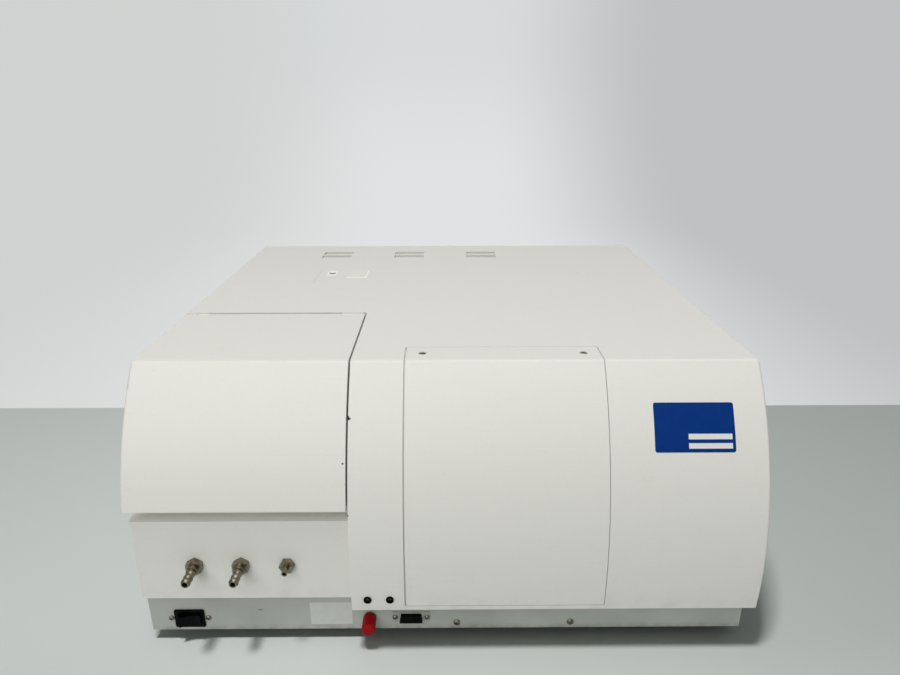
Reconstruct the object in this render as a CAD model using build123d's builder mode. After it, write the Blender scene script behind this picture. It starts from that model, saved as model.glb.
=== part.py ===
import os
from math import atan2, cos, degrees, radians, sin, sqrt, tan

from build123d import *

os.makedirs("parts", exist_ok=True)

# Frame: X to the right, Y to the back, Z up, origin under the middle of the instrument.

# Whole instrument
overall_width = 620.0
cover_depth = 602.0
overall_height = 296.0
nozzle_overhang = 10.0
skin_wall = 3.0
seam_gap = 2.0
edge_round = 3.0
running_gap = 0.05
clear_gap = 0.5

# Curved front of the cover
front_radius = 303.0
front_centre_drop = 205.0
crease_round = 5.0
cover_bottom = 60.0
bottom_flange = 18.0
flange_thick = 3.0
bay_return_depth = 30.0
bay_lip_depth = 12.0

# Base and feet
base_width = 616.0
base_setback = 26.0
base_height = 43.0
base_wall = 2.0
foot_height = 14.0
foot_radius = 16.0
foot_top_radius = 13.0
foot_inset_x = 42.0
foot_inset_y = 38.0
foot_recess_radius = 6.0
foot_recess_depth = 5.0
floor_slot_length = 60.0
floor_slot_width = 5.0
floor_slot_pitch = 12.0
floor_slot_count = 6
buffer_radius = 6.0
buffer_inset = 9.0

# Sample lid and its hinge
lid_width = 214.0
lid_bottom = 169.0
lid_rim_depth = 14.0
lid_corner_round = 6.0
hinge_from_nose = 229.3
hinge_drop = 3.5
hinge_edge_gap = 1.0
swing_gap = 0.4
hinge_pin_radius = 1.75
knuckle_radius = 3.4
lid_seal_gap = 0.5
ear_width = 12.0
ear_gap = 0.5
bracket_thick = 3.0
bracket_drop = 40.0
bracket_foot_width = 26.0
bracket_foot_height = 16.0

# Lower front panel and its finger groove
panel_setback = 19.7
groove_bottom = 152.0
groove_depth = 14.0
seal_thick = 3.0
chamber_front_gap = 20.3
panel_corner_round = 4.0

# Centre panel
centre_left = -40.0
centre_width = 196.0
centre_bottom = 65.5
centre_top_depth = 36.0
centre_gap_left = 1.6
centre_gap = 0.7
ledge_width = 10.0
ledge_thick = 2.0
panel_screw_inset = 16.5
panel_screw_setback = 19.0
panel_screw_land = 26.0

# Screws
large_head_radius = 3.5
large_head_height = 2.0
large_shank_radius = 2.0
large_screw_length = 10.0
small_head_radius = 2.7
small_head_height = 2.0
small_shank_radius = 1.5
small_screw_length = 8.0
driver_slot_width = 1.0
driver_slot_depth = 1.1
screw_sink = 2.0
front_screw_height = 21.5
front_screw_x = (10.5, 129.5)

# Top vents
vent_first_x = -174.0
vent_pitch = 115.5
vent_count = 3
vent_from_back = 66.0
vent_width = 47.0
vent_row_depth = 19.0
vent_row_gap = 5.0
vent_border = 4.0
louvre_pitch = 5.0
louvre_thick = 1.2
louvre_depth = 5.0
louvre_angle = 35.0
grille_thick = 2.0

# Water and dry-air nozzles
nozzle_first_from_left = 59.6
nozzle_pitch = 45.8
nozzle_height = 101.5
hex_across = 15.0
hex_thick = 7.0
small_hex_across = 13.5
small_hex_thick = 5.5
barb_radius = 4.7
barb_neck_radius = 3.7
barb_count = 3
nozzle_bore_radius = 2.6
collar_radius = 5.2
collar_length = 4.5
air_tube_radius = 2.9
air_bore_radius = 1.8
air_reach = 15.0
tail_radius = 4.0
tail_length = 14.0
nut_across = 13.0
nut_thick = 4.0

# Status lamps
status_lamp_x = (-78.0, -56.0)
status_lamp_height = 73.8
bezel_radius = 3.9
bezel_stand = 1.2
bezel_bore_radius = 2.3
bezel_body_radius = 3.1
bezel_body_length = 9.0
lamp_sink = 0.8

# Ports in the base front
port_height = 29.5
switch_x = -267.3
switch_width = 31.0
switch_height = 21.5
switch_flange = 1.8
switch_body_width = 26.0
switch_body_height = 17.0
switch_body_depth = 20.0
switch_wall = 1.5
switch_screw_pitch = 38.4
rocker_stand = 8.0
rocker_tilt = 10.0
rocker_pin_radius = 1.5
rocker_depth = 9.0
rocker_gap = 0.9
capped_socket_x = -80.0
socket_flange_radius = 6.5
socket_flange_thick = 1.5
socket_thread_radius = 5.0
socket_length = 13.0
socket_bore_radius = 3.2
socket_tail_length = 12.0
cap_radius = 7.0
cap_length = 17.0
cap_start = 3.0
cap_round = 2.0
data_socket_x = -37.2
data_socket_width = 24.0
data_socket_height = 8.9
data_plate_width = 39.0
data_plate_height = 12.5
data_plate_thick = 1.0
data_socket_stand = 5.5
data_socket_wall = 0.9
data_screw_pitch = 33.3
data_body_depth = 11.0
data_pin_radius = 0.6
data_pin_pitch = 2.8

# Optics plate, standing on rubber mounts
mount_height = 42.0
mount_radius = 12.0
plate_thick = 12.0
plate_left_gap = 26.0
plate_right = 140.0
plate_front_gap = 24.0
plate_back_gap = 16.0
plate_skin = 6.0
plate_rib = 6.0
mount_inset = 34.0

# Sample chamber
chamber_left_gap = 10.0
chamber_right_gap = 10.0
chamber_wall = 3.0
chamber_seal_gap = 4.0
beam_above_floor = 39.0
beam_hole_radius = 13.0
hose_hole_radius = 5.0

# Cell holder
cell_x = -202.0
cell_y = -165.0
cell_size = 12.6
cell_depth = 42.0
holder_size = 42.0
holder_height = 50.0
holder_corner = 3.0
holder_window_radius = 4.0
holder_base_size = 76.0
holder_base_thick = 8.0
holder_post_radius = 4.0
holder_post_length = 14.0
hose_radius = 4.0
air_hose_radius = 2.5
port_spread = 12.0
port_depth = 4.0
hose_port_height = 104.0

# Lens barrels
barrel_radius = 16.0
barrel_length = 14.0
barrel_step = 2.0
lens_radius = 13.0
lens_edge = 3.0
lens_bulge = 3.0

# Monochromators
housing_wall = 4.0
housing_height = 120.0
housing_lid_thick = 3.0
excitation_back = 124.0
excitation_right = -72.0
emission_left = -88.0
emission_right = 132.0
emission_front = -238.0
emission_back = -74.0
grating_size = 50.0
grating_thick = 12.0
grating_hollow_radius = 260.0
table_radius = 29.0
table_thick = 5.0
shaft_radius = 4.0
shaft_reach = 20.0
motor_size = 42.0
motor_height = 30.0
excitation_table = (-248.0, 78.0)
emission_table = (86.0, -165.0)
partition_y = 0.0
slit_wheel_radius = 22.0
slit_wheel_thick = 1.5
slit_wheel_gap = 1.0
slit_ring_radius = 15.0
slit_height = 10.0
slit_widths = (0.6, 1.2, 2.4, 4.0)
slit_hub_radius = 5.0
slit_hub_length = 6.0
slit_spindle_radius = 2.0
fold_mirror_x = -105.0
fold_mirror_y = 42.0
fold_mirror_size = 44.0
fold_mirror_thick = 8.0
fold_foot_size = 30.0
fold_foot_height = 16.0

# Shutter, beam splitter and monitor detector
solenoid_radius = 12.0
solenoid_length = 18.0
solenoid_offset_x = 38.0
solenoid_offset_z = 30.0
shutter_thick = 1.0
shutter_disc_radius = 11.0
shutter_arm_width = 7.0
shutter_shaft_radius = 2.0
splitter_y = -24.0
splitter_width = 28.0
splitter_height = 30.0
splitter_thick = 1.5
splitter_frame = 3.0
splitter_post_radius = 5.0
splitter_turn = 135.0
monitor_size = 24.0
monitor_height = 52.0
monitor_offset = 46.0
monitor_bore_radius = 6.0
monitor_bore_depth = 10.0

# Photomultiplier
tube_x = -35.0
tube_housing_size = 56.0
tube_housing_height = 110.0
tube_housing_gap = 2.0
tube_housing_wall = 4.0
tube_radius = 14.0
tube_length = 80.0
tube_base_radius = 17.0
tube_base_height = 14.0
tube_window_radius = 8.0

# Lamp house
lamp_house_left = -190.0
lamp_house_right = -20.0
lamp_house_front = 140.0
lamp_house_back = 275.0
lamp_house_height = 130.0
lamp_house_wall = 2.0
lamp_y = 200.0
lamp_x = -105.0
lamp_length = 148.0
bulb_radius = 10.0
bulb_length = 30.0
stem_radius = 4.0
ferrule_radius = 7.5
ferrule_length = 24.0
lamp_clamp_width = 14.0
lamp_clamp_size = 26.0
mirror_radius = 30.0
mirror_curve_radius = 48.0
mirror_back_gap = 12.0
mirror_edge = 6.0
lamp_slot_length = 40.0
lamp_slot_width = 5.0
lamp_slot_pitch = 11.0
lamp_slot_count = 9

# Lamp fan
fan_size = 80.0
fan_depth = 25.0
fan_height = 130.0
fan_bore_radius = 37.0
fan_blade_radius = 35.5
fan_hub_radius = 16.0
fan_hub_length = 20.0
fan_blade_count = 7
fan_blade_chord = 19.0
fan_blade_thick = 1.6
fan_blade_angle = 38.0
fan_strut_width = 6.0
fan_strut_thick = 3.0
fan_shaft_radius = 2.0
fan_post_radius = 8.0
fan_post_length = 5.0
fan_corner_round = 5.0

# Electronics bay
supply_gap = 12.0
supply_back_gap = 2.0
supply_width = 134.0
supply_depth = 192.0
supply_height = 140.0
supply_wall = 1.5
supply_slot_count = 12
supply_slot_pitch = 12.0
supply_slot_length = 60.0
supply_slot_width = 4.0
board_length = 300.0
board_thick = 1.6
board_stand_height = 24.0
board_stand_radius = 4.0
board_inset = 8.0
chip_size = 28.0
chip_height = 4.0
chip_pitch = 46.0
chip_count = 5
header_length = 60.0
header_width = 9.0
header_height = 11.0
coil_size = 36.0
coil_height = 30.0

# Rear panel and its sockets
rear_panel_thick = 3.0
rear_panel_bottom = 22.0
rear_panel_gap = 0.3
rear_slot_width = 5.0
rear_slot_pitch = 9.0
inlet_x = 240.0
inlet_height = 92.0
inlet_width = 27.0
inlet_tall = 32.0
inlet_flange = 4.0
inlet_flange_thick = 2.0
inlet_depth = 18.0
inlet_mouth_width = 23.0
inlet_mouth_height = 15.5
inlet_mouth_depth = 14.0
inlet_pin_width = 2.0
inlet_pin_height = 4.0
inlet_pin_pitch = 7.0
inlet_pin_length = 11.0
signal_x = 150.0
signal_width = 52.0
signal_height = 12.0
signal_plate_width = 70.0
signal_plate_height = 17.0
signal_plate_thick = 1.5
signal_depth = 10.0
signal_slot_width = 40.0
signal_slot_height = 5.0
signal_slot_depth = 7.0

# Places worked out from the sizes above
half_width = overall_width / 2
back_y = (cover_depth + nozzle_overhang) / 2
nose_y = back_y - cover_depth
arc_y = nose_y + front_radius
arc_z = overall_height - front_centre_drop
crease_y = arc_y - sqrt(front_radius**2 - front_centre_drop**2)

base_half = base_width / 2
base_front_y = nose_y + base_setback
base_back_y = back_y - rear_panel_thick
base_top = foot_height + base_height
floor_top = foot_height + base_wall
flange_inner_x = base_half - bottom_flange
flange_inner_y = base_front_y + bottom_flange

lid_right = -half_width + lid_width
bay_right = lid_right + seam_gap
hinge_y = nose_y + hinge_from_nose
hinge_z = overall_height - hinge_drop
lid_rear_y = hinge_y - hinge_edge_gap
bay_rear = hinge_y + sqrt(hinge_drop**2 + hinge_edge_gap**2) + swing_gap

panel_front_y = nose_y + panel_setback
groove_back_y = panel_front_y + groove_depth
panel_ledge_top = lid_bottom - seal_thick
chamber_front = panel_front_y + chamber_front_gap
ledge_back_y = chamber_front - clear_gap
lid_lip_top = lid_bottom + skin_wall
lid_lip_swing = sqrt((hinge_y - ledge_back_y) ** 2 + (hinge_z - lid_lip_top) ** 2)

centre_right = centre_left + centre_width
centre_rear = crease_y + centre_top_depth
panel_screw_y = crease_y + panel_screw_setback

plate_bottom = floor_top + mount_height
plate_top = plate_bottom + plate_thick
chamber_left = -half_width + chamber_left_gap
chamber_right = bay_right - chamber_right_gap
chamber_back = hinge_y - bracket_thick / 2
chamber_floor = plate_top + chamber_wall
chamber_front_top = lid_lip_top + seam_gap
chamber_inset = skin_wall + chamber_seal_gap
beam_z = chamber_floor + beam_above_floor
holder_bottom = chamber_floor + holder_base_thick

excitation_left = chamber_left + seam_gap
excitation_front = chamber_back + seam_gap
housing_top = plate_top + housing_height
housing_floor = plate_top + housing_wall

supply_y = (base_back_y - bottom_flange - supply_back_gap - supply_depth,
            base_back_y - bottom_flange - supply_back_gap)
board_x = (plate_right + supply_gap, plate_right + supply_gap + supply_width)
board_y = (supply_y[0] - supply_gap - board_length, supply_y[0] - supply_gap)

nozzle_tip_y = nose_y - nozzle_overhang
nozzle_x = [-half_width + nozzle_first_from_left + i * nozzle_pitch for i in range(3)]
tail_end_y = panel_front_y + tail_length


def block(x, y, z, mode=Mode.ADD):
    """A box between a low and a high value on each axis."""
    with Locations(((x[0] + x[1]) / 2, (y[0] + y[1]) / 2, (z[0] + z[1]) / 2)):
        Box(x[1] - x[0], y[1] - y[0], z[1] - z[0], mode=mode)


def rod(start, direction, radius, length, mode=Mode.ADD):
    """A cylinder from a start point along a direction."""
    with Locations(Plane(origin=start, z_dir=direction)):
        Cylinder(radius, length, align=(Align.CENTER, Align.CENTER, Align.MIN), mode=mode)


def front_at(z, inset=0.0):
    """Y of the curved front at a height, set in from the outer skin."""
    return arc_y - sqrt((front_radius - inset) ** 2 - (z - arc_z) ** 2)


def cover_slab(inset, bottom, rear, x_low, x_high, mode=Mode.ADD):
    """A solid with the side outline of the curved front and flat top, set in by inset."""
    top = overall_height - inset
    middle = (top + bottom) / 2
    corner = (front_at(top, inset), top)
    foot = (front_at(bottom, inset), bottom)
    with BuildSketch(Plane.YZ.offset(x_low)) as outline:
        with BuildLine():
            ThreePointArc(foot, (front_at(middle, inset), middle), corner)
            Polyline(corner, (rear, top), (rear, bottom), foot)
        make_face()
        if crease_round > inset:
            fillet(outline.vertices().sort_by_distance(corner)[0], crease_round - inset)
    extrude(outline.sketch, amount=x_high - x_low, mode=mode)


def pan_screw(head_base, outward, head_radius, head_height, shank_radius, length):
    """A pan-head screw with a cross recess: its head stands outward from head_base."""
    plane = Plane(origin=head_base, z_dir=outward)
    head_edge = head_height / 2
    with BuildSketch(Plane.XZ) as section:
        with BuildLine():
            Polyline(
                (0, -length),
                (shank_radius, -length),
                (shank_radius, 0),
                (head_radius, 0),
                (head_radius, head_edge),
            )
            ThreePointArc(
                (head_radius, head_edge),
                (head_radius * 0.75, head_height * 0.85),
                (0, head_height),
            )
            Line((0, head_height), (0, -length))
        make_face()
    with BuildPart() as screw:
        add(section.sketch)
        revolve(axis=Axis.Z)
        for turn in (0, 90):
            with Locations(Location((0, 0, head_height), (0, 0, turn))):
                Box(
                    head_radius * 1.1,
                    driver_slot_width,
                    2 * driver_slot_depth,
                    mode=Mode.SUBTRACT,
                )
    return screw.part.moved(plane.location)


# Base chassis: a folded sheet tray with turned-in top flanges
with BuildPart() as base_chassis:
    block((-base_half, base_half), (base_front_y, base_back_y), (foot_height, base_top))
    block(
        (-base_half + base_wall, base_half - base_wall),
        (base_front_y + base_wall, base_back_y - base_wall),
        (floor_top, base_top - base_wall),
        Mode.SUBTRACT,
    )
    block(
        (-flange_inner_x, flange_inner_x),
        (flange_inner_y, base_back_y - bottom_flange),
        (floor_top, base_top + base_wall),
        Mode.SUBTRACT,
    )
    # Board bosses
    for x in (board_x[0] + board_inset, board_x[1] - board_inset):
        for y in (board_y[0] + board_inset, board_y[1] - board_inset):
            rod((x, y, floor_top), (0, 0, 1), board_stand_radius, board_stand_height)
    # Air slots under the electronics bay
    for i in range(floor_slot_count):
        slot_y = sum(supply_y) / 2 + (i - (floor_slot_count - 1) / 2) * floor_slot_pitch
        with Locations((sum(board_x) / 2, slot_y, foot_height + base_wall / 2)):
            Box(floor_slot_length, floor_slot_width, 2 * base_wall, mode=Mode.SUBTRACT)
    # Cut-outs in the front wall
    with Locations((switch_x, base_front_y + base_wall / 2, port_height)):
        Box(switch_body_width, 2 * base_wall, switch_body_height, mode=Mode.SUBTRACT)
    with Locations((data_socket_x, base_front_y + base_wall / 2, port_height)):
        Box(data_socket_width, 2 * base_wall, data_socket_height, mode=Mode.SUBTRACT)
    front = (0, 1, 0)
    rod((capped_socket_x, base_front_y - base_wall, port_height), front,
        socket_thread_radius, 3 * base_wall, Mode.SUBTRACT)
    for x in (switch_x - switch_screw_pitch / 2, switch_x + switch_screw_pitch / 2,
              data_socket_x - data_screw_pitch / 2, data_socket_x + data_screw_pitch / 2):
        rod((x, base_front_y - base_wall, port_height), front, small_shank_radius, 3 * base_wall, Mode.SUBTRACT)
    for x in front_screw_x:
        rod((x, base_front_y - base_wall, front_screw_height), front,
            large_shank_radius, 3 * base_wall, Mode.SUBTRACT)
base_chassis.part.label = "base_chassis"
export_step(base_chassis.part, "parts/base_chassis.step")

# Feet: turned rubber with a screw recess
foot_x = base_half - foot_inset_x
foot_y = (base_front_y + foot_inset_y, base_back_y - foot_inset_y)
with BuildSketch(Plane.XZ) as foot_section:
    with BuildLine():
        Polyline(
            (foot_recess_radius, 0),
            (foot_top_radius, 0),
            (foot_radius, foot_height),
            (0, foot_height),
            (0, foot_recess_depth),
            (foot_recess_radius, foot_recess_depth),
            close=True,
        )
    make_face()
with BuildPart() as one_foot:
    add(foot_section.sketch)
    revolve(axis=Axis.Z)
with BuildPart() as rubber_feet:
    with Locations([(x, y, 0) for x in (-foot_x, foot_x) for y in foot_y]):
        add(one_foot.part)
rubber_feet.part.label = "rubber_feet"
export_step(rubber_feet.part, "parts/rubber_feet.step")

# Rubber buffers between the base's flange and the covers
buffer_x = base_half - buffer_inset
buffer_front_y = base_front_y + buffer_inset
with BuildPart() as cover_buffers:
    spots = [(-half_width / 2 - 130, buffer_front_y), (lid_right - 24, buffer_front_y),
             (24, buffer_front_y), (base_half - 60, buffer_front_y)]
    spots += [(side * buffer_x, y) for side in (-1, 1) for y in (0, base_back_y - 60)]
    for x, y in spots:
        rod((x, y, base_top), (0, 0, 1), buffer_radius, cover_bottom - base_top)
cover_buffers.part.label = "cover_buffers"
export_step(cover_buffers.part, "parts/cover_buffers.step")

# Main cover: top, right side, curved front and the left side behind the lid
with BuildPart() as cover_hollow:
    cover_slab(skin_wall, cover_bottom + flange_thick, back_y + skin_wall,
               -half_width + skin_wall, half_width - skin_wall)
    block((-overall_width, bay_right + skin_wall), (-cover_depth, bay_rear + skin_wall),
          (0, 2 * overall_height), Mode.SUBTRACT)
with BuildPart() as panel_ledge:
    cover_slab(skin_wall, centre_bottom - ledge_width, centre_rear + ledge_width,
               centre_left - ledge_width, centre_right + ledge_width)
    cover_slab(skin_wall + ledge_thick, 0, back_y, centre_left - 2 * ledge_width,
               centre_right + 2 * ledge_width, Mode.SUBTRACT)
    cover_slab(0, centre_bottom + ledge_width, centre_rear - panel_screw_land,
               centre_left + ledge_width, centre_right - ledge_width, Mode.SUBTRACT)
    block((centre_left - 2 * ledge_width, centre_right + 2 * ledge_width), (-cover_depth, 0),
          (0, cover_bottom + flange_thick), Mode.SUBTRACT)
    for x in (centre_left + panel_screw_inset, centre_right - panel_screw_inset):
        rod((x, panel_screw_y, overall_height), (0, 0, -1), large_shank_radius, 4 * skin_wall, Mode.SUBTRACT)
with BuildPart() as main_cover:
    cover_slab(0, cover_bottom, back_y, -half_width, half_width)
    side_edges = main_cover.faces().filter_by(Axis.X).edges().filter_by(
        lambda e: e.center().Z > cover_bottom + edge_round and e.center().Y < back_y - edge_round)
    fillet(side_edges, edge_round)
    block((-overall_width, bay_right), (-cover_depth, bay_rear), (0, 2 * overall_height), Mode.SUBTRACT)
    add(cover_hollow.part, mode=Mode.SUBTRACT)
    block((-flange_inner_x, flange_inner_x), (flange_inner_y, back_y + skin_wall),
          (0, cover_bottom + flange_thick), Mode.SUBTRACT)
    block((-half_width + skin_wall, half_width - skin_wall), (base_back_y, back_y + skin_wall),
          (0, cover_bottom + 2 * flange_thick), Mode.SUBTRACT)
    cover_slab(bay_return_depth, cover_bottom + flange_thick, bay_rear, bay_right - skin_wall,
               bay_right + skin_wall, Mode.SUBTRACT)
    block((-half_width + skin_wall, bay_right + skin_wall), (bay_rear - skin_wall, bay_rear + skin_wall),
          (0, overall_height - bay_lip_depth), Mode.SUBTRACT)
    cover_slab(-skin_wall, centre_bottom - centre_gap, centre_rear + centre_gap,
               centre_left - centre_gap_left, centre_right + centre_gap, Mode.SUBTRACT)
    add(panel_ledge.part)
    for i in range(vent_count):
        vent_x = vent_first_x + i * vent_pitch
        for row in (-1, 1):
            row_y = back_y - vent_from_back + row * (vent_row_depth + vent_row_gap) / 2
            with Locations((vent_x, row_y, overall_height)):
                Box(vent_width, vent_row_depth, 4 * skin_wall, mode=Mode.SUBTRACT)
    for x in status_lamp_x:
        rod((x, nose_y - skin_wall, status_lamp_height), (0, 1, 0), bezel_body_radius, 5 * skin_wall, Mode.SUBTRACT)
main_cover.part.label = "main_cover"
export_step(main_cover.part, "parts/main_cover.step")

# Vent grilles: a plate with sloped louvres under each pair of openings
with BuildPart() as vent_grilles:
    plate_depth = 2 * vent_row_depth + vent_row_gap + 2 * vent_border
    grille_y = back_y - vent_from_back
    grille_top = overall_height - skin_wall
    for i in range(vent_count):
        vent_x = vent_first_x + i * vent_pitch
        half_plate = vent_width / 2 + vent_border
        block((vent_x - half_plate, vent_x + half_plate), (grille_y - plate_depth / 2, grille_y + plate_depth / 2),
              (grille_top - grille_thick, grille_top))
        for row in (-1, 1):
            row_y = grille_y + row * (vent_row_depth + vent_row_gap) / 2
            with Locations((vent_x, row_y, grille_top)):
                Box(vent_width, vent_row_depth, 4 * grille_thick, mode=Mode.SUBTRACT)
            louvre_count = int(vent_row_depth // louvre_pitch)
            for k in range(louvre_count):
                louvre_y = row_y + (k - (louvre_count - 1) / 2) * louvre_pitch
                with Locations(Location((vent_x, louvre_y, grille_top - grille_thick / 2), (louvre_angle, 0, 0))):
                    Box(vent_width, louvre_depth, louvre_thick)
vent_grilles.part.label = "vent_grilles"
export_step(vent_grilles.part, "parts/vent_grilles.step")

# Centre panel: wraps from the fascia over the crease onto the top
with BuildPart() as centre_panel:
    cover_slab(0, centre_bottom, centre_rear, centre_left, centre_right)
    cover_slab(skin_wall, 0, back_y, centre_left - skin_wall, centre_right + skin_wall, Mode.SUBTRACT)
    for x in (centre_left + panel_screw_inset, centre_right - panel_screw_inset):
        rod((x, panel_screw_y, overall_height), (0, 0, -1), large_shank_radius, 2 * skin_wall, Mode.SUBTRACT)
        rod((x, panel_screw_y, overall_height), (0, 0, -1), large_head_radius + clear_gap, screw_sink, Mode.SUBTRACT)
centre_panel.part.label = "centre_panel"
export_step(centre_panel.part, "parts/centre_panel.step")

# Pan-head screws of the base front and the centre panel
with BuildPart() as pan_head_screws:
    for x in front_screw_x:
        add(pan_screw((x, base_front_y, front_screw_height), (0, -1, 0), large_head_radius,
                      large_head_height, large_shank_radius, large_screw_length))
    for x in (centre_left + panel_screw_inset, centre_right - panel_screw_inset):
        add(pan_screw((x, panel_screw_y, overall_height - screw_sink), (0, 0, 1), large_head_radius,
                      large_head_height, large_shank_radius, large_screw_length))
pan_head_screws.part.label = "pan_head_screws"
export_step(pan_head_screws.part, "parts/pan_head_screws.step")

# Lower front panel: front wall, finger groove, left side and turned-in bottom
with BuildPart() as lower_front_panel:
    with BuildSketch(Plane.YZ.offset(-half_width)) as panel_section:
        with BuildLine():
            Polyline(
                (panel_front_y, cover_bottom),
                (panel_front_y, groove_bottom),
                (groove_back_y, groove_bottom),
                (groove_back_y, panel_ledge_top),
                (ledge_back_y, panel_ledge_top),
                (ledge_back_y, panel_ledge_top - skin_wall),
                (groove_back_y + skin_wall, panel_ledge_top - skin_wall),
                (groove_back_y + skin_wall, groove_bottom - skin_wall),
                (panel_front_y + skin_wall, groove_bottom - skin_wall),
                (panel_front_y + skin_wall, cover_bottom + flange_thick),
                (flange_inner_y, cover_bottom + flange_thick),
                (flange_inner_y, cover_bottom),
                close=True,
            )
        make_face()
    extrude(amount=lid_width)
    with BuildSketch(Plane.YZ.offset(-half_width)) as panel_side:
        with BuildLine():
            Polyline(
                (panel_front_y, cover_bottom),
                (panel_front_y, groove_bottom),
                (groove_back_y, groove_bottom),
                (groove_back_y, lid_bottom - seam_gap),
                (bay_rear - seam_gap, lid_bottom - seam_gap),
                (bay_rear - seam_gap, cover_bottom),
                close=True,
            )
        make_face()
    extrude(amount=skin_wall)
    block((-half_width, -flange_inner_x), (panel_front_y, bay_rear - seam_gap),
          (cover_bottom, cover_bottom + flange_thick))
    corner = lower_front_panel.edges().filter_by(Axis.Z).sort_by_distance((-half_width, panel_front_y, cover_bottom))[0]
    fillet(corner, panel_corner_round - 1)
    for x in nozzle_x:
        rod((x, panel_front_y - skin_wall, nozzle_height), (0, 1, 0), tail_radius, 3 * skin_wall, Mode.SUBTRACT)
lower_front_panel.part.label = "lower_front_panel"
export_step(lower_front_panel.part, "parts/lower_front_panel.step")

# Sample lid: the same curve as the cover, with a side cheek, a rim and hinge ears
left_ear_x = -half_width + skin_wall
right_ear_x = lid_right - skin_wall - ear_width
left_knuckle_x = left_ear_x + ear_width + ear_gap
right_knuckle_x = right_ear_x - ear_gap - ear_width
with BuildPart() as sample_lid:
    cover_slab(0, lid_bottom, lid_rear_y, -half_width, lid_right)
    lid_sides = sample_lid.faces().filter_by(Axis.X).edges().filter_by(
        lambda e: e.center().Z > lid_bottom + edge_round and e.center().Y < lid_rear_y - edge_round)
    fillet(lid_sides.group_by(Axis.X)[0], edge_round)
    cover_slab(skin_wall, lid_bottom + skin_wall, lid_rear_y + skin_wall,
               -half_width + skin_wall, lid_right - skin_wall, Mode.SUBTRACT)
    block((-half_width + skin_wall, lid_right - skin_wall), (ledge_back_y, back_y),
          (0, lid_bottom + 2 * skin_wall), Mode.SUBTRACT)
    cover_slab(lid_rim_depth, lid_bottom + skin_wall, back_y, lid_right - 2 * skin_wall,
               lid_right + skin_wall, Mode.SUBTRACT)
    block((lid_right - 2 * skin_wall, lid_right + skin_wall), (ledge_back_y, back_y),
          (0, lid_bottom + 2 * skin_wall), Mode.SUBTRACT)
    for x in (left_ear_x, right_ear_x):
        rod((x, hinge_y, hinge_z), (1, 0, 0), knuckle_radius, ear_width)
        rod((x - ear_gap, hinge_y, hinge_z), (1, 0, 0), hinge_pin_radius + running_gap,
            ear_width + 2 * ear_gap, Mode.SUBTRACT)
    for x in (left_knuckle_x, right_knuckle_x):
        block((x - ear_gap, x + ear_width + ear_gap), (hinge_y - knuckle_radius - 2 * ear_gap, back_y),
              (hinge_z - 2 * knuckle_radius, 2 * overall_height), Mode.SUBTRACT)
sample_lid.part.label = "sample_lid"
export_step(sample_lid.part, "parts/sample_lid.step")

# Hinge brackets: a knuckle on an arm that is screwed to the chamber's back
with BuildPart() as hinge_brackets:
    for x in (left_knuckle_x, right_knuckle_x):
        rod((x, hinge_y, hinge_z), (1, 0, 0), knuckle_radius, ear_width)
        block((x, x + ear_width), (chamber_back, chamber_back + bracket_thick), (hinge_z - bracket_drop, hinge_z))
        middle_x = x + ear_width / 2
        block((middle_x - bracket_foot_width / 2, middle_x + bracket_foot_width / 2),
              (chamber_back, chamber_back + bracket_thick),
              (hinge_z - bracket_drop - bracket_foot_height, hinge_z - bracket_drop))
        rod((x - ear_gap, hinge_y, hinge_z), (1, 0, 0), hinge_pin_radius, ear_width + 2 * ear_gap, Mode.SUBTRACT)
hinge_brackets.part.label = "hinge_brackets"
export_step(hinge_brackets.part, "parts/hinge_brackets.step")

with BuildPart() as hinge_pins:
    pin_length = 2 * ear_width + ear_gap
    rod((left_ear_x, hinge_y, hinge_z), (1, 0, 0), hinge_pin_radius, pin_length)
    rod((right_knuckle_x, hinge_y, hinge_z), (1, 0, 0), hinge_pin_radius, pin_length)
hinge_pins.part.label = "hinge_pins"
export_step(hinge_pins.part, "parts/hinge_pins.step")

# Sample chamber: a black box whose side walls follow the lid and clear its swinging lip
chamber_top = overall_height - chamber_inset
with BuildPart() as swing_limit:
    rod((-overall_width, hinge_y, hinge_z), (1, 0, 0), lid_lip_swing - swing_gap, 2 * overall_width)
    block((-overall_width, overall_width), (chamber_front, chamber_back), (plate_top, chamber_front_top))
with BuildPart() as sample_chamber:
    cover_slab(chamber_inset, plate_top, chamber_back, chamber_left, chamber_right)
    add(swing_limit.part, mode=Mode.INTERSECT)
    block((-overall_width, overall_width), (-cover_depth, chamber_front), (0, chamber_front_top), Mode.SUBTRACT)
    block((chamber_left + chamber_wall, chamber_right - chamber_wall),
          (chamber_front + chamber_wall, chamber_back - chamber_wall),
          (chamber_floor, 2 * overall_height), Mode.SUBTRACT)
    block((chamber_left + chamber_wall, chamber_right - chamber_wall),
          (-cover_depth, chamber_back - chamber_wall), (chamber_front_top, 2 * overall_height), Mode.SUBTRACT)
    rod((cell_x, chamber_back + chamber_wall, beam_z), (0, -1, 0), barrel_radius, 3 * chamber_wall, Mode.SUBTRACT)
    rod((chamber_right + chamber_wall, cell_y, beam_z), (-1, 0, 0), barrel_radius, 3 * chamber_wall, Mode.SUBTRACT)
    for x in nozzle_x:
        rod((x, chamber_front - chamber_wall, nozzle_height), (0, 1, 0), hose_hole_radius,
            3 * chamber_wall, Mode.SUBTRACT)
sample_chamber.part.label = "sample_chamber"
export_step(sample_chamber.part, "parts/sample_chamber.step")

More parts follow.
